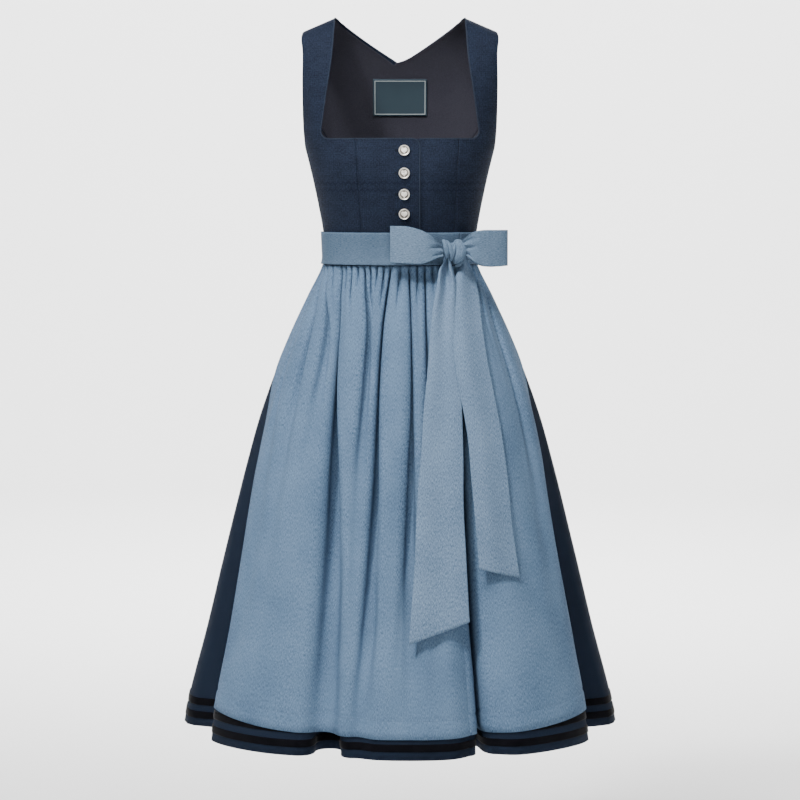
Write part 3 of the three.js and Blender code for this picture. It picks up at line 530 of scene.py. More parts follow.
def bodicePanel(name, node, edges, s, t, sewn, out=None, mirrored=False, wall=bodice["wall"], deeper=0.0,
                slot="bodice_cloth", dip=-0.5, power=1.0):
    # a Coons patch on the torso, moved out or deeper, whose map is its width and height
    places = panelPlaces(edges, s, t, power)
    turn, level = places[..., 0], places[..., 1]
    flat = torsoPoints(turn, level, np.zeros(turn.shape))
    width = np.linalg.norm(np.diff(flat, axis=1), axis=-1).sum(1).mean()
    height = np.linalg.norm(np.diff(flat, axis=0), axis=-1).sum(0).mean()
    lift = (0 if out is None else out(turn, level)) + seamDip(s, t, width, height, sewn, dip) - deeper
    points = torsoPoints(turn, level, lift)[::-1]
    if mirrored:
        points = points * [-1, 1, 1]
    cloth = np.stack([flat[::-1, :, 0] * (-1 if mirrored else 1), flat[::-1, :, 2]], -1) * mm
    middle = (0, 0, points[..., 2].mean())
    return putOn(clothPiece(name, points, wall, cloth, middle), slot, node)


# The skirt and apron: sections over the crests of the folds, from the band down.
skirtSections = columnsOf("z half front back", [
    [-327, 122.5, 95, 82],
    [-350, 121.5, 93, 82],
    [-379, 123, 96, 86],
    [-430, 147, 117, 110],
    [-482, 171, 139, 138],
    [-555, 202, 166, 168],
    [-624, 227, 190, 192],
    [-685, 245, 210, 210],
    [-751, 263, 228, 226],
    [-861, 290, 257, 252],
    [-963, 314, 283, 275],
    [-1063, 340, 308, 297],
    [-1112, 350, 320, 308],
])
squareness = 2.15
bandTop, bandBottom, skirtHem = -327, -379, -1112
stations = np.array([bandBottom, -482, -730, skirtHem], float)   # where the fold tables give values


def fold(name, turns, deep, wide, steep, skirtHemDeep=0, gathers=0):
    # Turns in degrees, depths and widths in mm at the waist, hip, knee and hem. Steep is the right and
    # left wall's steepness in degrees, and gathers the number of small gathers up to the next fold.
    return {"name": name, "turns": turns, "deep": deep, "wide": wide, "steep": steep,
            "skirtHemDeep": skirtHemDeep, "gathers": gathers}


def thread(name, turns, gathers=0):
    # a fold with no depth, which only steers the cloth's columns
    return fold(name, turns, [0, 0, 0, 0], [8, 8, 8, 8], [50, 50], 0, gathers)


frontFolds = [
    thread("rightEdge", [-91, -91, -65.2, -57], 1),
    fold("rightHip", [-84, -74, -56, -50], [5, 10, 3, 0], [9, 17, 42, 60], [70, 60]),
    fold("rightThigh", [-77, -57, -47, -42], [6, 12, 5, 0], [9, 20, 46, 60], [75, 60]),
    fold("rightShort", [-69, -44.5, -36, -33], [7, 13, 3, 0], [9, 18, 50, 60], [115, 65], 0, 1),
    fold("rightDeep", [-48, -36.5, -24.6, -18.5], [9, 30, 42, 22], [10, 22, 54, 90], [128, 80], 60, 3),
    fold("rightMiddle", [-26, -16.5, -14, -13.5], [9, 16, 8, 0], [9, 17, 36, 60], [138, 76], 0, 3),
    fold("centreRight", [-5.5, -8.3, -7.6, -9.5], [9, 26, 34, 6], [9, 18, 34, 54], [90, 152], 0, 1),
    fold("centreLeft", [5.5, 5, 3.2, 1.5], [9, 24, 24, 0], [9, 14, 30, 60], [148, 90], 0, 1),
    fold("leftMiddle", [17, 13.2, 9.5, 8.5], [8, 19, 12, 0], [9, 14, 32, 60], [140, 84], 0, 2),
    fold("leftDeep", [36, 30, 23.2, 20.5], [7, 22, 50, 68], [9, 18, 34, 46], [118, 78], 68, 5),
    fold("leftHip", [83, 67, 56, 48], [6, 13, 4, 0], [9, 20, 44, 60], [75, 70]),
    thread("leftEdge", [91, 90, 63.4, 60.5]),
]
sideHollows = [
    fold("rightHollow", [-80, -80, -74, -69], [0, 0, 14, 42], [20, 40, 90, 150], [45, 45], 42),
    fold("leftHollow", [80, 80, 74, 69], [0, 0, 14, 45], [20, 40, 90, 150], [45, 45], 45),
]
backPleats = {"count": 8, "from": 93, "to": 267, "wander": [0.5, 1, 2, 3]}
gather = {"deep": 10, "wide": 8.6, "steep": [130, 84], "lengths": [58, 92, 42, 74, 118, 52, 84],
          "flute": [2.5, 3.6, 1.8, 0], "fluteWide": [4.5, 8.5, 16, 24]}
# The cloth on both sides of a fold sinks towards it, by a share of its depth and over that many of its
# half widths and mm more, up to a limit.
swell = {"share": 0.46, "halves": 1.25, "more": 5, "limit": 62}
skipBeyond = 230         # mm from a fold, where nothing of it is left
hemFalls = [-780, 300]   # where the skirt's own deeper folds start, and over what height they grow


def backPleat(k):
    # even turns round the back, wandering to one side and the other by turns
    side = -1 if k % 2 else 1
    middle = mix(backPleats["from"], backPleats["to"], (k + 0.5) / backPleats["count"])
    steep = [95, 65] if k < backPleats["count"] / 2 else [65, 95]
    turns = [middle + side * wander for wander in backPleats["wander"]]
    return fold(f"backPleat{k + 1}", turns, [6, 15, 34 + 6 * side, 52 + 8 * side], [10, 22, 52, 72],
                steep, 52 + 8 * side, 2)


def withGathers(rows):
    # small tucks at even shares between one fold and the next, each of its own length below the band
    filled = []
    for row, following in zip(rows, rows[1:] + rows[-1:]):
        filled.append(row)
        for k in range(row["gathers"]):
            share = (k + 1) / (row["gathers"] + 1)
            turns = [mix(a, b, share) for a, b in zip(row["turns"], following["turns"])]
            tuck = fold("gather", turns, [gather["deep"]] * 4, [gather["wide"]] * 4, gather["steep"])
            tuck["length"] = gather["lengths"][len(filled) % len(gather["lengths"])]
            filled.append(tuck)
    return filled


apronThreads = withGathers(frontFolds)
frontThreads = ([thread("rightSeam", [-93.18, -92.18, -91.18, -90.68])] + apronThreads
                + [thread("leftSeam", [93.18, 92.18, 91.18, 90.68])])
backThreads = withGathers([thread("leftSeam", [93.22, 92.22, 91.22, 90.72], 2)]
                          + [backPleat(k) for k in range(backPleats["count"])]
                          + [thread("rightSeam", [266.78, 267.78, 268.78, 269.28])])
allFolds = [row for row in apronThreads + sideHollows + backThreads if max(row["deep"]) > 0]
fineHeights = np.linspace(0, 1200, 601)


def overStations(values, z):
    # a fold table's values carried over all heights
    return np.interp(-z, fineHeights, curveThrough(-stations, values, fineHeights))


def wallShape(steepest):
    # a wall's slope swells to the steepest angle as sin(pi t) and dies away, scaled to a depth of 1
    slope = np.radians(steepest) * np.sin(np.linspace(0, np.pi, 97))
    across = np.concatenate([[0], np.cumsum((np.cos(slope)[1:] + np.cos(slope)[:-1]) / 2)])
    down = np.concatenate([[0], np.cumsum((np.sin(slope)[1:] + np.sin(slope)[:-1]) / 2)])
    return across / down[-1], down / down[-1]


wallShapes = {angle: wallShape(angle) for row in allFolds for angle in row["steep"]}


def skirtColumn(name, z):
    return curveThrough(-skirtSections["z"], skirtSections[name], -z)


def sectionAt(turn, z):
    # superellipse: (x / half)^n + (forward / deep)^n = 1, with its outward normal in plan
    half = skirtColumn("half", z)
    sine, cosine = np.sin(np.radians(turn)), np.cos(np.radians(turn))
    deep = np.where(cosine > 0, skirtColumn("front", z), skirtColumn("back", z))
    x, forward = half * signedPower(sine, 2 / squareness), deep * signedPower(cosine, 2 / squareness)
    outX = signedPower(x / half, squareness - 1) / half
    outForward = signedPower(forward / deep, squareness - 1) / deep
    size = np.maximum(np.hypot(outX, outForward), 1e-9)
    return x, forward, outX / size, outForward / size, (half + deep) / 2 * np.radians(1)


def drape(turn, z, cloth):
    # the crest section, where each fold sinks by its wall's fall and draws the cloth in by its reach
    x, forward, outX, outForward, perDegree = sectionAt(turn, z)
    belowBand = np.clip((bandBottom + 6 - z) / 16, 0, 1)
    inwards, sideways = np.zeros(x.shape), np.zeros(x.shape)
    for row in allFolds:
        away = ((turn - overStations(row["turns"], z) + 180) % 360 - 180) * perDegree
        wallWide = overStations(row["wide"], z) / 2
        if not (np.abs(away) < skipBeyond).any():
            continue
        depth = np.maximum(overStations(row["deep"], z), 0) * belowBand
        if "length" in row:
            depth = depth * (1 - ease((bandBottom - z) / row["length"]))
            across = away / overStations(gather["fluteWide"], z)
            inwards += overStations(gather["flute"], z) * belowBand * np.exp(-across ** 2)
        else:
            reach = np.minimum(swell["halves"] * wallWide + swell["more"], swell["limit"])
            inwards += swell["share"] * depth * np.exp(-(away / reach) ** 2)
        if cloth == "skirt":
            deeper = max(row["skirtHemDeep"] - row["deep"][3], 0)
            depth = depth + deeper * ease((hemFalls[0] - z) / hemFalls[1])
        share = np.clip(1 - np.abs(away) / wallWide, 0, 1)
        for side, steepest in zip((-1, 1), row["steep"]):
            across, down = wallShapes[steepest]
            grid = np.linspace(0, 1, len(across))
            here = (share > 0) & (np.sign(away) == side)
            reach = wallWide - depth * np.interp(share, grid, across)
            reach -= (wallWide - depth * across[-1]) * share
            inwards += np.where(here, depth * np.interp(share, grid, down), 0)
            sideways += np.where(here, side * reach - away, 0)
    return np.stack([
        x - outX * inwards + outForward * sideways,
        -(forward - outForward * inwards - outX * sideways),
        z,
    ], -1)


def threadTurns(threads, at, z):
    # the turn of each thread place at each height, between the threads on either side
    i = np.clip(np.floor(at).astype(int), 0, len(threads) - 2)
    table = np.stack([overStations(row["turns"], z) for row in threads], -1)
    column = np.arange(len(at))
    return mix(table[:, column, i], table[:, column, i + 1], (at - i)[None])


def evenColumns(threads, count, cloth, bend=9.0):
    # places along the threads, spaced by the cloth's length and its bending at several heights
    fine = np.linspace(0, len(threads) - 1, 1500)
    weight = np.zeros(len(fine) - 1)
    for height in (-392, -430, -520, -730, -950, skirtHem):
        z = np.full((1, len(fine)), float(height))
        points = drape(threadTurns(threads, fine, z), z, cloth)[0]
        steps = np.diff(points, axis=0)
        length = np.linalg.norm(steps, axis=1)
        heading = np.unwrap(np.arctan2(steps[:, 1], steps[:, 0]))
        weight += length / length.sum() * 100 + bend * np.abs(np.gradient(heading))
    sums = np.concatenate([[0], np.cumsum(weight)])
    return np.interp(np.linspace(0, sums[-1], count), sums, fine)


evenPart, squarePart = 0.45, 0.55    # of the way down, so that rows stand closer just under the band


def heightsDown(top, hem, share):
    # the way down is even part * share + square part * share^2
    return top + (hem - top) * (evenPart * share + squarePart * share ** 2)


def shareDown(down):
    # the share that lies that part of the way down, by the quadratic formula
    return (np.sqrt(evenPart ** 2 + 4 * squarePart * down) - evenPart) / (2 * squarePart)


# Soft marks across the apron's folds: turn and height of both ends, depth and width in mm.
creases = [
    [-30, -600, -22, -800, 2.2, 16],
    [-40, -520, -44, -680, 1.6, 12],
    [12, -780, 17, -1010, 2.8, 22],
    [-3, -820, -7, -1020, 3.0, 20],
    [38, -680, 45, -960, 3.2, 24],
    [50, -640, 54, -860, 2.2, 18],
    [-50, -740, -55, -1000, 3.0, 22],
    [-36, -800, -41, -1020, 3.4, 24],
    [30, -860, 33, -1020, 2.4, 18],
]


def creaseDepth(turn, z):
    # each mark is a trough: -depth * exp(-(distance / width)^2), faded at its two ends
    perDegree = 5.0
    total = np.zeros(turn.shape)
    for startTurn, startZ, endTurn, endZ, depth, width in creases:
        ax, az = startTurn * perDegree, startZ
        dx, dz = (endTurn - startTurn) * perDegree, endZ - startZ
        length = np.hypot(dx, dz)
        t = ((turn * perDegree - ax) * dx + (z - az) * dz) / length ** 2
        distance = ((turn * perDegree - ax) * dz - (z - az) * dx) / length
        total -= depth * np.exp(-(distance / width) ** 2) * np.sin(np.pi * np.clip(t, 0, 1)) ** 2
    return total


def skirtCloth(threads, places, heights):
    # the draped points at those places along the threads, with their turns and heights
    z = np.broadcast_to(heights[:, None], (len(heights), len(places))).astype(float)
    turn = threadTurns(threads, places, z)
    return drape(turn, z, "skirt"), turn, z


skirt = {"wall": 0.55, "columns": 360, "rows": 86}
# The back's seam allowances turn in under the front's edges. Places count threads: they are how far past
# the seam the extra columns lie, and eased is how far inside it the cloth starts to turn in.
allowance = {"places": np.array([0.34, 0.22, 0.12, 0.05]), "deep": 1.15, "eased": 0.22}
# Where the apron hides it the front lies deeper. Each pair is where that starts and over how far it grows:
# degrees in from the apron's edges, mm down from the band and mm up from the hem.
hiding = {"deep": 3.5, "turns": [3, 6], "below": [-384, 20], "above": [-1050, 40]}


def skirtPiece(name, node, threads):
    # returns the places of the columns, for the velvet ribbons
    places = evenColumns(threads, skirt["columns"], "skirt")
    heights = heightsDown(bodice["waistSeam"] - 0.3, skirtHem, np.linspace(0, 1, skirt["rows"]))
    if node == "skirt_back":
        under = allowance["places"]
        wider = np.concatenate([-under, places, places[-1] + under[::-1]])
        points = skirtCloth(threads, wider, heights)[0]
        inside = np.minimum(wider, places[-1] - wider)
        turnedIn = -allowance["deep"] * (1 - ease(inside / allowance["eased"]))
        points = movedOut(points, np.broadcast_to(turnedIn, points.shape[:2]))
    else:
        points, turn, z = skirtCloth(threads, places, heights)
        right, left = (overStations(row["turns"], z) for row in (apronThreads[0], apronThreads[-1]))
        hidden = ease((np.minimum(turn - right, left - turn) - hiding["turns"][0]) / hiding["turns"][1])
        hidden *= ease((hiding["below"][0] - z) / hiding["below"][1])
        hidden *= ease((z - hiding["above"][0]) / hiding["above"][1])
        points = movedOut(points, -hiding["deep"] * hidden)
    putOn(clothPiece(name, points, skirt["wall"]), "skirt_cloth", node)
    return places


frontPlaces = skirtPiece("skirtFrontCloth", "skirt_front", frontThreads)
backPlaces = skirtPiece("skirtBackCloth", "skirt_back", backThreads)
print("dirndl: skirt")

velvet = {"wall": 0.6, "lift": 0.75, "rounding": 0.35, "rows": 6,
          "lower": [-1089, -1100], "upper": [-1068, -1079]}


def velvetPiece(level, side, threads, places):
    # a ribbon on the skirt, whose edges round off as the sixth power of the way from its middle
    points = skirtCloth(threads, places, np.linspace(*velvet[level], velvet["rows"]))[0]
    rounded = velvet["rounding"] * np.abs(np.linspace(-1, 1, velvet["rows"])) ** 6
    lift = (velvet["lift"] + velvet["wall"] - rounded)[:, None]
    points = movedOut(points, np.broadcast_to(lift, points.shape[:2]))
    ribbon = clothPiece(f"velvet{level.capitalize()}{side.capitalize()}", points, velvet["wall"])
    putOn(ribbon, "velvet", f"velvet_{level}_{side}")


for level in ("lower", "upper"):
    velvetPiece(level, "front", frontThreads, frontPlaces)
    velvetPiece(level, "back", backThreads, backPlaces)
print("dirndl: velvet bands")

apron = {"wall": 0.5, "columns": 430, "rows": 98, "waistLift": 1.2, "lowLift": 2.7, "corner": -1063,
         "middle": -1083, "middleTurn": 2, "cornerTurn": 59, "hemWidth": 28, "groove": [0.9, 2.3],
         "fold": [0.4, 3]}


def apronHeights(places, rows):
    # from the band to the hem, which hangs lower by 1 - (turn / corner turn)^2 in the middle, with a
    # few more rows at the hem's stitches
    turn = threadTurns(apronThreads, places, np.full((1, len(places)), float(skirtHem)))[0]
    share = np.clip(1 - ((turn - apron["middleTurn"]) / apron["cornerTurn"]) ** 2, 0, 1)
    stitched = shareDown(1 - apron["hemWidth"] / (bandBottom - apron["middle"]))
    finer = stitched + 0.0025 * np.arange(-4, 5)
    down = np.sort(np.concatenate([np.linspace(0, 1, rows), finer]))[:, None]
    return heightsDown(bandBottom - 0.5, mix(apron["corner"], apron["middle"], share), down)


def apronCloth(places, heights):
    # over the skirt's crests, creased, with a groove at the hem's stitches and a fold below it
    turn = threadTurns(apronThreads, places, heights)
    lift = mix(apron["waistLift"], apron["lowLift"], ease((-430 - heights) / 200))
    points = movedOut(drape(turn, heights, "apron"), lift)
    points = movedOut(points, creaseDepth(turn, heights))
    past = heights - heights[-1] - apron["hemWidth"]
    (foldOut, foldWide), (grooveDeep, grooveWide) = apron["fold"], apron["groove"]
    groove = grooveDeep * np.exp(-(past / grooveWide) ** 2)
    return movedOut(points, foldOut * ease(-past / foldWide) - groove)


apronPlaces = evenColumns(apronThreads, apron["columns"], "apron")
apronPoints = apronCloth(apronPlaces, apronHeights(apronPlaces, apron["rows"]))
putOn(clothPiece("apronCloth", apronPoints, apron["wall"]), "apron_cloth", "apron")
print("dirndl: apron")

# The bodice's panels, linings and label.
sideColumns, sideRows = np.linspace(0, 1, 50), np.linspace(0, 1, 130)
centreColumns, centreRows = np.linspace(0, 1, 60), np.linspace(0, 1, 90)
backColumns = 0.5 + 0.5 * signedPower(np.linspace(-1, 1, 90), 1.3)
for name, side in (("Right", -1), ("Left", 1)):
    edges = frontSideEdges(side, princess[name.lower()])
    bodicePanel(f"frontSide{name}", f"front_side_{name.lower()}", edges, sideColumns, sideRows,
                ["inner", "top", "bottom"])
overlap = [bodice["overlapEdge"]] * 3
under = [bodice["underEdge"]] * 3
overlapCorner = 12
centreRightEdges = frontCentreEdges(princess["right"], overlap, gapTurn, 0, overlapCorner)
centreLeftEdges = frontCentreEdges(under, princess["left"], 0, -gapTurn, 0)
bodicePanel("frontCentreRight", "front_centre_right", centreRightEdges, centreColumns, centreRows,
            ["inner"])
bodicePanel("frontCentreLeft", "front_centre_left", centreLeftEdges, centreColumns, centreRows, ["outer"],
            out=underOverlap)

lining = {"wall": 0.4, "deeper": bodice["wall"] + 0.6, "dip": 0.5}
sidePanel = (backSideEdges, np.linspace(0, 1, 50), np.linspace(0, 1, 70), ["outer"], 1.0)
backPanels = [
    ("Centre", False, backCentreEdges, backColumns, np.linspace(0, 1, 120), ["inner", "outer", "top"], 2.2),
    ("SideLeft", False, *sidePanel),
    ("SideRight", True, *sidePanel),
]
for name, mirrored, edges, s, t, sewn, power in backPanels:
    node = "back_" + name.replace("Side", "side_").lower()
    bodicePanel(f"back{name}", node, edges(), s, t, sewn, mirrored=mirrored, power=power)
    bodicePanel(f"liningBack{name}", f"lining_{node}", edges(0), s[::2], t[::2], ["top"], mirrored=mirrored,
                wall=lining["wall"], deeper=lining["deeper"], slot="lining", dip=lining["dip"], power=power)
print("dirndl: bodice")

label = {"wide": 88, "high": 60, "middle": -111, "deeper": 4.0, "thick": 0.35, "columns": 44, "rows": 30}


def labelPiece():
    # a rectangle laid on the lining, whose map runs from 0 to 1 both ways
    x = np.linspace(-label["wide"] / 2, label["wide"] / 2, label["columns"])
    z = label["middle"] + np.linspace(label["high"] / 2, -label["high"] / 2, label["rows"])
    places = placeAt(*np.meshgrid(x, z), behind=True)
    depth = np.full(places.shape[:2], label["thick"] - label["deeper"])
    points = torsoPoints(places[..., 0], places[..., 1], depth)
    uv = np.stack(np.meshgrid(np.linspace(0, 1, label["columns"]), np.linspace(0, 1, label["rows"])), -1)
    putOn(clothPiece("neckLabel", points, label["thick"], uv, (0, 0, label["middle"])), "label", "label")


labelPiece()

# Buttons: a turned disc with a raised rim, a sunk ring and a heart with a small flower in it.
button = {"across": 17.8, "heights": [-200, -235, -267.5, -298], "rise": 0.65, "base": 1.9}


def buttonRelief(radius, angle):
    # Height over the base: a rim ridge, a ring of beads, and a heart about its notch of radius
    # 2 - 2 sin + sin * sqrt(|cos|) / (sin + 1.4), with a small flower in it.
    r = radius / (button["across"] / 2)
    rim = 0.95 * np.exp(-((r - 0.89) / 0.08) ** 2)
    beads = 0.3 * np.exp(-((r - 0.76) / 0.045) ** 2) * (0.6 + 0.4 * np.cos(24 * angle))
    x, y = r * np.cos(angle), r * np.sin(angle) - 0.3
    sine = y / np.maximum(np.hypot(x, y), 1e-6)
    heart = 2 - 2 * sine + sine * np.sqrt(np.sqrt(1 - np.minimum(sine ** 2, 1))) / (sine + 1.4)
    body = 0.95 * ease((0.245 * heart - np.hypot(x, y)) / 0.1 + 0.5)
    flower = 0.3 * np.exp(-((r - 0.2) / 0.08) ** 2) * np.cos(5 * angle) * (r > 0.01)
    edge = np.sqrt(np.clip(1 - np.clip((r - 0.86) / 0.14, 0, 1) ** 2, 0, 1))
    return (button["base"] + rim + beads + body + flower) * (0.25 + 0.75 * edge)


def buttonPiece(number, z):
    # rings of the relief from the middle to the rim, then the edge and a smaller ring on the cloth
    radii = np.concatenate([np.linspace(0.05, 0.84, 26), np.linspace(0.86, 1, 12)]) * button["across"] / 2
    radius, around = np.meshgrid(radii, fullTurn(72), indexing="ij")
    front = np.stack([radius * np.cos(around), radius * np.sin(around), buttonRelief(radius, around)], -1)
    rim = front[-1:] * [1, 1, 0]
    rings = np.concatenate([front, rim + [0, 0, 0.3], rim * [0.6, 0.6, 0]])
    at = placeAt(bodice["buttonLine"], z)
    base, one, two = (torsoPoints(at[0], at[1], np.array(out)) for out in (button["rise"], 1.0, 2.0))
    normal = unit(two - one)
    side = unit(np.cross([0, 0, 1], normal))
    vertices = rings.reshape(-1, 3) @ np.stack([side, np.cross(normal, side), normal]) + base
    cells = ringNumbers(*rings.shape[:2])
    fans = endFans(cells, len(vertices))[:, [0, 2, 1]]
    top = base + normal * buttonRelief(np.array(0.0), np.array(0.0))
    # the map carries the relief's height, by which the metal is painted darker in its hollows: tarnish and
    # painted shade
    heights = (rings[..., 2].reshape(-1, 1) - button["base"]) * [[1, 0]]
    middleHeight = 0.8
    uvs = np.concatenate([heights, [[middleHeight, 0], [0, 0]]])
    vertices = np.concatenate([vertices, [top], [base]])
    piece = meshPiece(f"button{number}", vertices, [cellFaces(cells), fans], uvs)
    putOn(piece, "button_metal", f"button_{number}")


for i, z in enumerate(button["heights"]):
    buttonPiece(i + 1, z)
print("dirndl: buttons and label")


# The apron's band, and the bow tied in its ends.
def crestForward(x, z):
    # the skirt's section solved for how far forward it is at x
    share = np.minimum(np.abs(x) / skirtColumn("half", z), 0.999)
    return skirtColumn("front", z) * (1 - share ** squareness) ** (1 / squareness)


band = {"lift": 4, "wall": 1.0, "from": 47.1, "to": 406.9, "columns": 260, "rows": 18, "ripple": 0.25}


def bandCloth():
    # the waist's section moved out, with a ripple of five waves round it and one down it
    turn, z = np.meshgrid(np.linspace(band["from"], band["to"], band["columns"]),
                          np.linspace(bandTop, bandBottom, band["rows"]))
    ripple = band["ripple"] * np.sin(np.radians(turn * 5)) * np.sin((z - bandTop) / 9)
    x, forward = sectionAt(turn, z)[:2]
    return movedOut(np.stack([x, -forward, z], -1), band["lift"] + ripple)


putOn(clothPiece("waistbandCloth", bandCloth(), band["wall"]), "apron_cloth", "waistband")

# Plan places at the knot, between and at the loop's end. A crease runs from one share and place across
# to another, with its depth and width in mm.
loops = [
    {"name": "bowLoopRight", "node": "bow_loop_right",
     "from": [66, 103], "through": [29, 114], "to": [-16, 112],
     "rows": columnsOf("share middle halfHigh halfDeep", [
         [0, -355.5, 8, 5], [0.12, -354, 12, 7], [0.25, -351.3, 19, 9], [0.42, -349.4, 25.5, 9.5],
         [0.67, -346.3, 28.6, 8], [0.88, -345.4, 28.6, 5.5], [1, -345.2, 28.4, 2.4]]),
     "creases": [
         [0, 0.7, 0.36, -0.28, 7, 2.8], [0, -0.45, 0.3, -0.75, 4.5, 2.3], [0.02, 0.9, 0.42, 0.5, 3.2, 3]]},
    {"name": "bowLoopLeft", "node": "bow_loop_left",
     "from": [96, 87], "through": [134, 81], "to": [170, 64],
     "rows": columnsOf("share middle halfHigh halfDeep", [
         [0, -350, 8, 5], [0.12, -349.7, 15.3, 7], [0.26, -350.3, 23, 9.5], [0.48, -352, 28.4, 9.5],
         [0.75, -352, 28.6, 7.5], [0.9, -351.6, 28.3, 5], [1, -351.4, 28, 2.4]]),
     "creases": [
         [0, -0.15, 0.36, 0.1, 6.5, 2.8], [0, -0.5, 0.28, -0.98, 6, 2.4], [0.02, 0.7, 0.4, 0.55, 3, 3]]},
]


def loopCloth(loop, columns=130, rows=44):
    # the band goes out in front along the plan's curve, turns round at its end and comes back behind
    along = np.linspace(0, 2, columns)
    share = np.minimum(1 - np.abs(1 - along), 1)
    side = np.sin(np.clip((1 - along) * 5 + 0.5, 0, 1) * np.pi - np.pi / 2)
    a, b, c = (np.array(loop[key], float) for key in ("from", "through", "to"))
    t = share[:, None]
    plan = a * (1 - t) ** 2 + 2 * b * t * (1 - t) + c * t ** 2
    tangent = unit(2 * (b - a) * (1 - t) + 2 * (c - b) * t)
    facing = np.where(tangent[:, 0] < 0, 1, -1)
    normal = np.stack([facing * tangent[:, 1], -facing * tangent[:, 0]], -1)
    table = loop["rows"]
    middle, halfHigh, halfDeep = (curveThrough(table["share"], table[key], share)
                                  for key in ("middle", "halfHigh", "halfDeep"))
    across = np.linspace(1, -1, rows)[:, None]
    out = side * halfDeep + 0 * across
    for fromShare, fromAcross, toShare, toAcross, depth, width in loop["creases"]:
        # a trough from one place to another, deepest at the knot
        part = np.clip((share - fromShare) / (toShare - fromShare), 0, 1)
        distance = (across - mix(fromAcross, toAcross, part)) * halfHigh
        out = out - depth * (1 - ease(part)) * np.exp(-(distance / width) ** 2) * (side > 0)
    return np.stack([
        plan[:, 0] + normal[:, 0] * out,
        -(plan[:, 1] + normal[:, 1] * out),
        np.broadcast_to(middle + across * halfHigh, out.shape),
    ], -1)


ribbonWall = {"loop": 0.7, "tail": 0.6}
for loop in loops:
    points = loopCloth(loop)
    frontHalf = points[:, 5:60]
    if gridNormals(frontHalf)[..., 1].mean() > 0:
        points = points[:, ::-1]
    putOn(clothPiece(loop["name"], points, ribbonWall["loop"]), "apron_cloth", loop["node"])

# The knot: wraps of the band, each a flat roll along its own path: where it lies across and up, how far
# out of the skirt's crest line, and half its width and thickness.
knotFacing = np.array([0.36, -0.933, 0])
wraps = [columnsOf("x z out wide thick", rows) for rows in (
    [[77.5, -343, 8, 9, 5], [78.5, -352, 11, 13, 8], [78.5, -361, 11, 12, 8], [77.5, -370, 8, 7, 5]],
    [[63.8, -338.5, 9, 3.0, 2.4], [64.4, -345, 16.5, 4.2, 3.6], [65.1, -353, 18.5, 4.4, 4.2],
     [66.3, -361, 17.5, 3.6, 3.8], [68.5, -368, 12, 2.2, 2.4]],
    [[67.9, -339.5, 10, 2.4, 2.6], [70.1, -347, 17, 3.2, 3.8], [72, -355, 19.5, 3.8, 4.2],
     [73.5, -363, 19, 3.2, 4], [74.7, -371, 13, 1.8, 2.6]],
    [[80.5, -342, 11, 1.8, 2.4], [78.1, -349, 17.5, 2.7, 3.6], [76.1, -358, 20, 2.9, 4],
     [74.9, -366, 17.5, 2.2, 3.2], [74.7, -372, 13, 1.4, 2]],
    [[83, -339.5, 9, 4.6, 3.4], [85.9, -346, 19, 7.8, 5.4], [87.3, -354, 22.5, 9.2, 6.6],
     [85.9, -362, 22.5, 9, 6.6], [82.9, -369, 19, 7.2, 5.2], [79.5, -375, 11, 3.4, 3]],
    [[83, -380.5, 8, 1.6, 1.6], [87.5, -378, 11, 2.8, 2.2], [92.5, -373, 12, 3, 2.4],
     [96.5, -367, 9, 2, 1.6]],
)]


def wrapRoll(table, steps=46, sides=30):
    # rings on the path, wide * cos^0.8 sideways and thick * sin^0.8 outwards, drawn together at both ends
    at = np.linspace(0, len(table["x"]) - 1, steps)
    places = np.arange(len(table["x"]))
    x, z, out, wide, thick = (curveThrough(places, column, at) for column in table.values())
    path = np.stack([x, -crestForward(x, z), z], -1) + knotFacing * out[:, None]
    along = unit(np.gradient(path, axis=0))
    side = unit(np.cross(along, knotFacing))
    outwards = np.cross(side, along)
    angle = fullTurn(sides)
    drawn = np.sqrt(np.clip(1 - np.abs(np.linspace(-1, 1, steps)) ** 14, 0.02, 1))
    ripple = 1 - 0.1 * np.exp(-((angle - 1.15) / 0.16) ** 2) - 0.07 * np.exp(-((angle - 2.1) / 0.2) ** 2)
    sideways = (wide * drawn)[:, None] * signedPower(np.cos(angle), 0.8)
    forward = (thick * drawn)[:, None] * signedPower(np.sin(angle), 0.8) * ripple
    rings = path[:, None] + side[:, None] * sideways[..., None] + outwards[:, None] * forward[..., None]
    number = ringNumbers(steps, sides)
    across = np.broadcast_arrays(pathLengths(path)[:, None], wide[:, None] * angle)
    uvs = np.stack(across, -1).reshape(-1, 2) * mm
    return (np.concatenate([rings.reshape(-1, 3), path[:1], path[-1:]]), cellFaces(number)[:, facingOut],
            endFans(number, steps * sides), np.concatenate([uvs, uvs[:1], uvs[-1:]]))


def knotPiece():
    # the wraps joined into one mesh
    vertices, quads, ends, uvs, count = [], [], [], [], 0
    for table in wraps:
        points, four, three, uv = wrapRoll(table)
        vertices.append(points)
        quads.append(four + count)
        ends.append(three + count)
        uvs.append(uv)
        count += len(points)
    return meshPiece("bowKnot", np.concatenate(vertices), quads + ends, np.concatenate(uvs))


putOn(knotPiece(), "apron_cloth", "bow_knot")

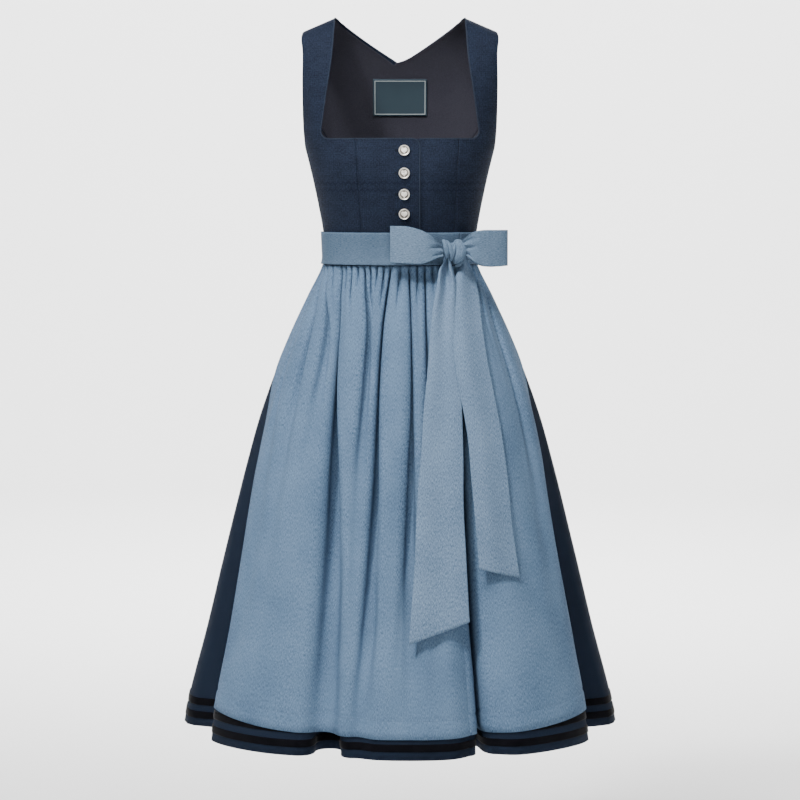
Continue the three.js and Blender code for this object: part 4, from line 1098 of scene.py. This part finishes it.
# Both edges' places across, how far out of the skirt's crest line, and the ripple, all at heights.
tails = [
    {"name": "bowTailRight", "node": "bow_tail_right",
     "cutNear": -943, "cutFar": -912, "wave": [0.12, 0.73],
     "rows": columnsOf("z near far lift ripple", [
         [-362, 70, 77, 14, 2], [-374, 66, 79.5, 14, 5], [-384, 61, 82.5, 13, 7],
         [-398, 58.2, 86.5, 11.5, 6.4], [-414, 56.5, 88, 10, 4.8], [-443, 51, 87, 8, 2.8],
         [-490, 46, 88, 6.5, 1.4], [-543, 42, 92, 6, 1.1], [-590, 37, 95, 6, 1], [-665, 32, 97, 6, 0.9],
         [-738, 26, 97, 6, 0.9], [-824, 22, 101, 6, 0.9], [-945, 13.5, 107, 6, 0.9]])},
    {"name": "bowTailLeft", "node": "bow_tail_left",
     "cutNear": -835, "cutFar": -853, "wave": [0.38, 0.84],
     "rows": columnsOf("z near far lift ripple", [
         [-356, 98, 102.5, 13, 0.8], [-370, 97.5, 106.5, 13, 2.8], [-381, 94, 111.5, 12.2, 3.8],
         [-396, 86.5, 118, 11.2, 3.6], [-406, 82.5, 120.5, 10.8, 3], [-432, 80, 124.5, 9.8, 2.2],
         [-482, 82, 130, 9.5, 1.6], [-528, 85, 137, 9.5, 1.3], [-575, 93, 146, 9, 1.2],
         [-640, 104, 158, 8.5, 1.2], [-700, 109, 166, 8, 1.2], [-775, 116, 173, 7.5, 1],
         [-855, 122, 184, 7, 1]])},
]


def tailCloth(tail, columns=52, rows=130):
    # hangs over the crests of the apron's folds, with ripple * cos(2 pi (across - start) / length)
    across, down = np.meshgrid(np.linspace(0, 1, columns), np.linspace(0, 1, rows) ** 1.3)
    table = tail["rows"]
    z = mix(table["z"][0], mix(tail["cutNear"], tail["cutFar"], across), down)
    near, far, lift, ripple = (curveThrough(-table["z"], table[key], -z)
                               for key in ("near", "far", "lift", "ripple"))
    x = mix(near, far, across)
    start, length = tail["wave"]
    out = lift + ripple * np.cos(2 * np.pi * (across - start) / length)
    return np.stack([x, -(crestForward(x, z) + out), z], -1)


for tail in tails:
    putOn(clothPiece(tail["name"], tailCloth(tail), ribbonWall["tail"]), "apron_cloth", tail["node"])
print("dirndl: band and bow")


# Piping along the neckline and the overlap's edge.
piping = {"radius": 0.95, "rise": 0.4}


def pipingPath(side, line):
    # from the middle of the back over the shoulder and down the strap to the front's neckline, and on
    # the right front down the overlap's edge
    shares = np.linspace(strapShare, 0.5, 40)[::-1]
    back = backCentreEdges()["top"](shares if side > 0 else 1 - shares)
    neck = frontSideEdges(side, line)["inner"](np.linspace(1, seamShare, 110))
    if side < 0:
        front = np.concatenate([centreRightEdges["top"](np.linspace(0, 1, 60))[1:],
                                centreRightEdges["outer"](np.linspace(1, 0, 70))[1:]])
    else:
        front = centreLeftEdges["top"](np.linspace(1, 0.36, 50))[1:]
    places = np.concatenate([back, neck, front])
    lift = np.full(len(places), piping["rise"] - bodice["wall"] / 2)
    if side > 0:
        lift[-len(front):] += underOverlap(front[:, 0], front[:, 1])
    return torsoPoints(places[:, 0], places[:, 1], lift)


def evenPath(path, step):
    # the same path with points at even lengths, smoothed twice by (1 + 2 + 1) / 4 of its neighbours
    keep = np.concatenate([[True], np.linalg.norm(np.diff(path, axis=0), axis=1) > 0.05])
    path = path[keep]
    lengths = pathLengths(path)
    even = pointsAt(np.linspace(0, lengths[-1], int(lengths[-1] / step) + 1), lengths, path)
    for _ in range(2):
        even[1:-1] = (even[:-2] + 2 * even[1:-1] + even[2:]) / 4
    return even


for side, name in ((-1, "Right"), (1, "Left")):
    path = evenPath(pipingPath(side, princess[name.lower()]), 2.0)
    putOn(tubePiece(f"piping{name}", path, piping["radius"]), "bodice_cloth")
print("dirndl: piping")


# Stitches: the apron's hems, the tails' ends and the buttonholes.
stitchLift = 0.12


def hemStitches(name, points, inset, along):
    # the place on each row or column of a grid that is the inset away from its last edge
    if along == "columns":
        points = points.swapaxes(0, 1)
    normals = gridNormals(points)
    steps = np.linalg.norm(np.diff(points, axis=1), axis=-1)
    fromEdge = np.concatenate([np.zeros((len(points), 1)), np.cumsum(steps[:, ::-1], axis=1)], axis=1)
    fromEdge = fromEdge[:, ::-1]
    i = np.clip((fromEdge > inset).sum(1) - 1, 0, points.shape[1] - 2)
    row = np.arange(len(points))
    share = ((fromEdge[row, i] - inset) / (fromEdge[row, i] - fromEdge[row, i + 1]))[:, None]
    path = mix(points[row, i], points[row, i + 1], share)
    normal = normals[row, i]
    if normal[:, 1].mean() > 0:
        normal = -normal
    return stitchRow(name, path + normal * stitchLift, normal)


hems = [
    ("apronHemStitches", apronPoints, apron["hemWidth"], "columns"),
    ("apronLeftHemStitches", apronPoints, 7, "rows"),
    ("apronRightHemStitches", apronPoints[:, ::-1], 7, "rows"),
    ("rightTailHemStitches", tailCloth(tails[0]), 8, "columns"),
    ("leftTailHemStitches", tailCloth(tails[1]), 8, "columns"),
]
for name, points, inset, along in hems:
    putOn(hemStitches(name, points, inset, along), "apron_cloth")


def buttonholePiece(number, z):
    # a slot worked round with thread: a tube along two lines and two half circles
    angle = fullTurn(64)
    across = -2.2 + 8.5 * np.sign(np.cos(angle)) + 1.1 * np.cos(angle)
    x = bodice["buttonLine"] + across - 1.8
    at = placeAt(np.where(np.abs(x) < 0.05, 0.05, x), z + 1.1 * np.sin(angle))
    path = torsoPoints(at[:, 0], at[:, 1], np.full(len(at), 0.15))
    threadRadius = 0.55 + 0.12 * np.cos(np.arange(64) * np.pi)
    putOn(tubePiece(f"buttonhole{number}", path, threadRadius, 8, True), "bodice_cloth")


for i, z in enumerate(button["heights"]):
    buttonholePiece(i + 1, z)
print("dirndl: stitches")


# Materials: colours are linear, and patterns follow the cloth's own map, in metres.
def linear(red, green, blue):
    # sRGB bytes to a linear colour
    values = np.array([red, green, blue]) / 255
    return tuple(np.where(values <= 0.04045, values / 12.92, ((values + 0.055) / 1.055) ** 2.4)) + (1.0,)


class Shader:
    # a material's node tree with short ways to add nodes
    def __init__(self, name, colour, roughness):
        self.material = bpy.data.materials.new(name)
        self.material.use_nodes = True
        self.nodes = self.material.node_tree.nodes
        self.links = self.material.node_tree.links
        self.surface = self.nodes["Principled BSDF"]
        self.surface.inputs["Base Color"].default_value = colour
        self.surface.inputs["Roughness"].default_value = roughness

    def add(self, kind, inputs=(), **settings):
        node = self.nodes.new(kind)
        for key, value in settings.items():
            setattr(node, key, value)
        for key, value in dict(inputs).items():
            self.put(value, node.inputs[key])
        return node

    def put(self, value, socket):
        if isinstance(value, bpy.types.NodeSocket):
            self.links.new(value, socket)
        else:
            socket.default_value = value

    def clothUv(self, scale):
        uv = self.add("ShaderNodeUVMap", uv_map="cloth").outputs["UV"]
        return self.add("ShaderNodeMapping", {"Vector": uv, "Scale": scale}).outputs["Vector"]

    def place(self, scale):
        at = self.add("ShaderNodeTexCoord").outputs["Object"]
        return self.add("ShaderNodeMapping", {"Vector": at, "Scale": scale}).outputs["Vector"]

    def noise(self, scales, detail=2, roughness=0.5):
        # two scales for the cloth's map, one for the place on the object, all in waves a metre
        vector = self.clothUv((*scales, 1)) if len(scales) == 2 else self.place(scales * 3)
        node = self.add("ShaderNodeTexNoise", {"Vector": vector, "Scale": 1, "Detail": detail,
                                               "Roughness": roughness})
        return node.outputs["Fac"]

    def maths(self, operation, a, b=0.0):
        node = self.add("ShaderNodeMath", operation=operation)
        self.put(a, node.inputs[0])
        self.put(b, node.inputs[1])
        return node.outputs[0]

    def total(self, *terms):
        # the sum of values, each times its own factor
        whole = None
        for value, factor in terms:
            part = value if factor == 1 else self.maths("MULTIPLY", value, factor)
            whole = part if whole is None else self.maths("ADD", whole, part)
        return whole

    def near(self, value, middle, reach):
        # 1 where the value is within the reach of the middle, else 0
        result = self.maths("COMPARE", value, middle)
        result.node.inputs[2].default_value = reach
        return result

    def span(self, value, low, high, toLow=0.0, toHigh=1.0):
        node = self.add("ShaderNodeMapRange", {"Value": value, "From Min": low, "From Max": high,
                                               "To Min": toLow, "To Max": toHigh})
        return node.outputs["Result"]

    def blend(self, share, a, b):
        node = self.add("ShaderNodeMix", data_type="RGBA")
        self.put(share, node.inputs[0])
        self.put(a, node.inputs[6])
        self.put(b, node.inputs[7])
        return node.outputs[2]

    def finish(self, colour=None, height=None, bump=0.2, distance=0.0003, roughness=None, sockets=()):
        # colour, a bump from the height, roughness, and any other sockets by their names
        if colour is not None:
            self.put(colour, self.surface.inputs["Base Color"])
        if roughness is not None:
            self.put(roughness, self.surface.inputs["Roughness"])
        if height is not None:
            node = self.add("ShaderNodeBump", {"Height": height, "Strength": bump, "Distance": distance})
            self.links.new(node.outputs["Normal"], self.surface.inputs["Normal"])
        for key, value in dict(sockets).items():
            self.surface.inputs[key].default_value = value
        return self.material


specular = "Specular IOR Level"


def chambray(name, dark, light, horizontal=False):
    # pale and dark yarns: fine slubs along the cloth, finer ones across, and a slow change of tone
    shader = Shader(name, light, 0.82)
    long, short = (260, 2000) if horizontal else (2000, 260)
    slubs = shader.noise((long, short), 3, 0.6)
    cross = shader.noise((short * 2, long * 0.8))
    streaks = shader.noise((long * 0.32, short * 0.7))
    slow = shader.noise((14, 9))
    yarns = shader.total((slubs, 0.62), (cross, 0.16), (streaks, 0.22))
    tone = shader.span(shader.total((yarns, 1), (slow, 0.16)), 0.42, 0.74)
    return shader.finish(shader.blend(tone, dark, light), yarns, 0.18, 0.0002, sockets={specular: 0.15})


def darkCotton(name, dark, light):
    # fine even yarns and a slow change of tone
    shader = Shader(name, dark, 0.85)
    fine = shader.noise((1300, 1300), 2, 0.6)
    slow = shader.noise((12, 7))
    tone = shader.span(shader.total((fine, 1), (slow, 0.4)), 0.4, 1.0)
    return shader.finish(shader.blend(tone, dark, light), fine, 0.25, 0.0002, sockets={specular: 0.12})


def jacquard(name, ground, figure, shade):
    # Tone on tone: flecks of yarn in a faint lozenge lattice, and a chain of lozenges, where |v| - |u| is
    # constant, at every repeat of the pattern.
    shader = Shader(name, ground, 0.85)
    at = shader.add("ShaderNodeSeparateXYZ", {"Vector": shader.clothUv((1, 1, 1))})
    wave, lozenge, chains, first = 0.006, 0.0042, 0.13, 0.256    # metres of cloth
    outline, half = 0.0035, 0.0011
    repeat = 2 * np.pi / wave
    along = shader.maths("MULTIPLY", shader.maths("ADD", at.outputs["X"], at.outputs["Y"]), repeat)
    apart = shader.maths("MULTIPLY", shader.maths("SUBTRACT", at.outputs["X"], at.outputs["Y"]), repeat)
    lattice = shader.maths("MULTIPLY", shader.maths("COSINE", along), shader.maths("COSINE", apart))
    flecks = shader.noise((430, 370), 4, 0.85)
    patches = shader.noise((50, 70))
    mask = shader.span(shader.total((flecks, 1), (lattice, 0.035), (patches, 0.16)), 0.44, 0.76)
    zigzag = shader.maths("PINGPONG", at.outputs["X"], lozenge)
    height = shader.maths("PINGPONG", shader.maths("ADD", at.outputs["Y"], first), chains)
    chain = shader.near(shader.maths("SUBTRACT", height, zigzag), outline, half)
    broken = shader.maths("MULTIPLY", chain, shader.span(flecks, 0.4, 0.6, 0.2, 0.75))
    yarn = shader.noise((2400, 1500), 2, 0.6)
    relief = shader.total((mask, 0.6), (yarn, 0.5))
    colour = shader.blend(broken, shader.blend(mask, ground, figure), shade)
    return shader.finish(colour, relief, 0.2, 0.0003, sockets={specular: 0.12})


def plainWeave(name, dark, light):
    # fine grain by the place on the object
    shader = Shader(name, dark, 0.9)
    fine = shader.noise((1500,), 2, 0.6)
    tone = shader.span(fine, 0.3, 0.7)
    return shader.finish(shader.blend(tone, dark, light), fine, 0.2, 0.0002, sockets={specular: 0.2})


def velvetNap(name):
    # near black, with a soft grain and a little sheen
    shader = Shader(name, linear(4, 4, 8), 0.9)
    nap = shader.noise((900, 900), 2, 0.6)
    slow = shader.noise((60, 60))
    tone = shader.span(shader.total((nap, 1), (slow, 0.6)), 0.5, 1.1)
    return shader.finish(shader.blend(tone, linear(3, 3, 6), linear(14, 14, 19)), nap, 0.3, 0.0003,
                         sockets={"Sheen Weight": 0.12, "Sheen Roughness": 0.35, specular: 0.05})


def tarnishedMetalWithPaintedShade(name):
    # pale and cloudy where it is raised, and painted darker in the hollows by the height in its map:
    # tarnish and painted shade
    shader = Shader(name, linear(214, 206, 196), 0.38)
    marks = shader.noise((900,), 3, 0.6)
    cloud = shader.noise((160,))
    tone = shader.span(shader.total((cloud, 1), (marks, 0.5)), 0.5, 0.95)
    at = shader.add("ShaderNodeSeparateXYZ", {"Vector": shader.clothUv((1, 1, 1))})
    # up to 0.35 mm above the base the colour goes to a dark one: painted shade in the hollows, with tarnish
    clearOfShadeAndTarnish = shader.span(at.outputs["X"], 0.0, 0.35)
    metal = shader.blend(tone, linear(222, 216, 207), linear(253, 249, 241))
    return shader.finish(shader.blend(clearOfShadeAndTarnish, linear(104, 98, 89), metal), marks, 0.05, 0.0001,
                         shader.span(marks, 0.3, 0.7, 0.34, 0.46), {"Metallic": 0.7})


def wovenLabel(name):
    # dark ground with one thin pale frame line: a band of distance from the edges
    shader = Shader(name, linear(30, 46, 56), 0.8)
    uv = shader.add("ShaderNodeSeparateXYZ", {"Vector": shader.clothUv((1, 1, 1))})
    distances = []
    for axis, size in (("X", label["wide"]), ("Y", label["high"])):
        place = uv.outputs[axis]
        nearer = shader.maths("MINIMUM", place, shader.maths("SUBTRACT", 1.0, place))
        distances.append(shader.maths("MULTIPLY", nearer, size))
    line = shader.near(shader.maths("MINIMUM", *distances), 3.2, 0.45)
    threads = shader.noise((130, 260), 2, 0.6)
    ground = shader.blend(threads, linear(24, 38, 47), linear(52, 68, 78))
    return shader.finish(shader.blend(shader.maths("MULTIPLY", line, 0.85), ground, linear(188, 196, 196)),
                         threads, 0.3, 0.0002, sockets={specular: 0.3})


cloths = {
    "apron": chambray("chambrayDown", linear(46, 68, 94), linear(114, 140, 168)),
    # the waistband's copy of the apron's chambray is darker: painted shade
    "band": chambray("chambrayAcross", linear(41, 60, 80), linear(99, 119, 141), horizontal=True),
    # the tails' copy of the apron's chambray is lighter: painted light
    "tail": chambray("chambrayTail", linear(51, 73, 99), linear(130, 154, 180)),
    "bow": chambray("chambrayBow", linear(49, 70, 93), linear(121, 143, 166), horizontal=True),
    "skirt": darkCotton("navyCotton", linear(13, 20, 33), linear(27, 38, 55)),
    "bodice": jacquard("navyJacquard", linear(15, 20, 31), linear(35, 44, 63), linear(10, 15, 34)),
    "lining": plainWeave("darkLining", linear(34, 34, 42), linear(52, 51, 61)),
    "piping": plainWeave("pipingCloth", linear(24, 31, 44), linear(44, 53, 68)),
    "thread": plainWeave("sewingThread", linear(54, 72, 94), linear(90, 108, 128)),
    "darkThread": plainWeave("buttonholeThread", linear(8, 11, 20), linear(22, 28, 42)),
    "velvet": velvetNap("blackVelvet"),
    "metal": tarnishedMetalWithPaintedShade("agedSilver"),
    "label": wovenLabel("labelCloth"),
}
clothBySlot = {"skirt_cloth": "skirt", "bodice_cloth": "bodice", "lining": "lining", "velvet": "velvet",
               "button_metal": "metal", "label": "label", "apron_cloth": "apron"}
clothByWord = {"piping": "piping", "Stitches": "thread", "buttonhole": "darkThread", "waistband": "band",
               "bowLoop": "bow", "bowKnot": "bow", "bowTail": "tail"}
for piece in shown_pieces():
    if piece.type == "MESH" and not piece.data.materials:
        key = clothBySlot[piece["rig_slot"]]
        for word, cloth in clothByWord.items():
            key = cloth if word in piece.name else key
        piece.data.materials.append(cloths[key])
print("dirndl: materials")


# A pale round floor that curves up into a wall on all sides, soft lights, and the camera.
studio = {"floor": -1.46, "radius": 6.0, "bend": 1.5, "height": 5.0, "columns": 97}


def studioFloor():
    # a disc, a quarter turn and a wall as one profile turned round the upright axis
    bend = np.linspace(0, np.pi / 2, 16)
    radius = np.concatenate([[0.01, 1.5, 3, 4.5], studio["radius"] + studio["bend"] * np.sin(bend),
                             np.full(3, studio["radius"] + studio["bend"])])
    z = np.concatenate([np.zeros(4), studio["bend"] * (1 - np.cos(bend)),
                        np.linspace(studio["bend"], studio["height"], 4)[1:]]) + studio["floor"]
    angle = np.linspace(0, 2 * np.pi, studio["columns"])[None]
    points = np.stack([radius[:, None] * np.cos(angle), radius[:, None] * np.sin(angle),
                       np.broadcast_to(z[:, None], (len(z), studio["columns"]))], -1) / mm
    floor = meshPiece("studioFloor", points.reshape(-1, 3), [gridFaces(*points.shape[:2])[:, ::-1]],
                      points.reshape(-1, 3)[:, :2])
    shader = Shader("studioPaint", (0.86, 0.86, 0.86, 1), 0.9)
    floor.data.materials.append(shader.finish())


def added(name, data, place, aim):
    # an object in the scene at the place, which looks at the aim
    thing = bpy.data.objects.new(name, data)
    bpy.context.scene.collection.objects.link(thing)
    thing.location = place
    thing.rotation_euler = (Vector(aim) - Vector(place)).to_track_quat("-Z", "Y").to_euler()
    return thing


def softLight(name, place, aim, size, watts):
    # a round lamp
    light = bpy.data.lights.new(name, "AREA")
    light.shape = "DISK"
    light.size = size
    light.energy = watts
    added(name, light, place, aim)


studioFloor()
middle = (0, 0, -0.6)
softLight("keyLight", (-1.6, -2.5, 2.9), middle, 0.65, 222)
softLight("fillLight", (0.9, -4.0, 0.3), middle, 1.2, 17)
softLight("topLight", (-0.15, -0.95, 1.35), (0, 0, -0.1), 0.6, 30)
softLight("backLight", (0.6, 3.4, 1.8), middle, 1.6, 55)
softLight("wallLight", (0, 2.4, 3.0), (0, 7.5, 0), 3.0, 1050)
softLight("roomLight", (0, -2.4, 3.3), (0, -7.5, 0.6), 3.0, 40)
world = bpy.data.worlds.new("studio")
bpy.context.scene.world = world
world.use_nodes = True
background = world.node_tree.nodes["Background"]
background.inputs["Color"].default_value = (0.93, 0.95, 1, 1)
background.inputs["Strength"].default_value = 0.03

cameraData = bpy.data.cameras.new("camera")
cameraData.lens = 112.5
cameraData.sensor_width = 36
bpy.context.scene.camera = added("camera", cameraData, (0, -4.0, -0.261), (0, 0, -0.597))

print("dirndl: studio")
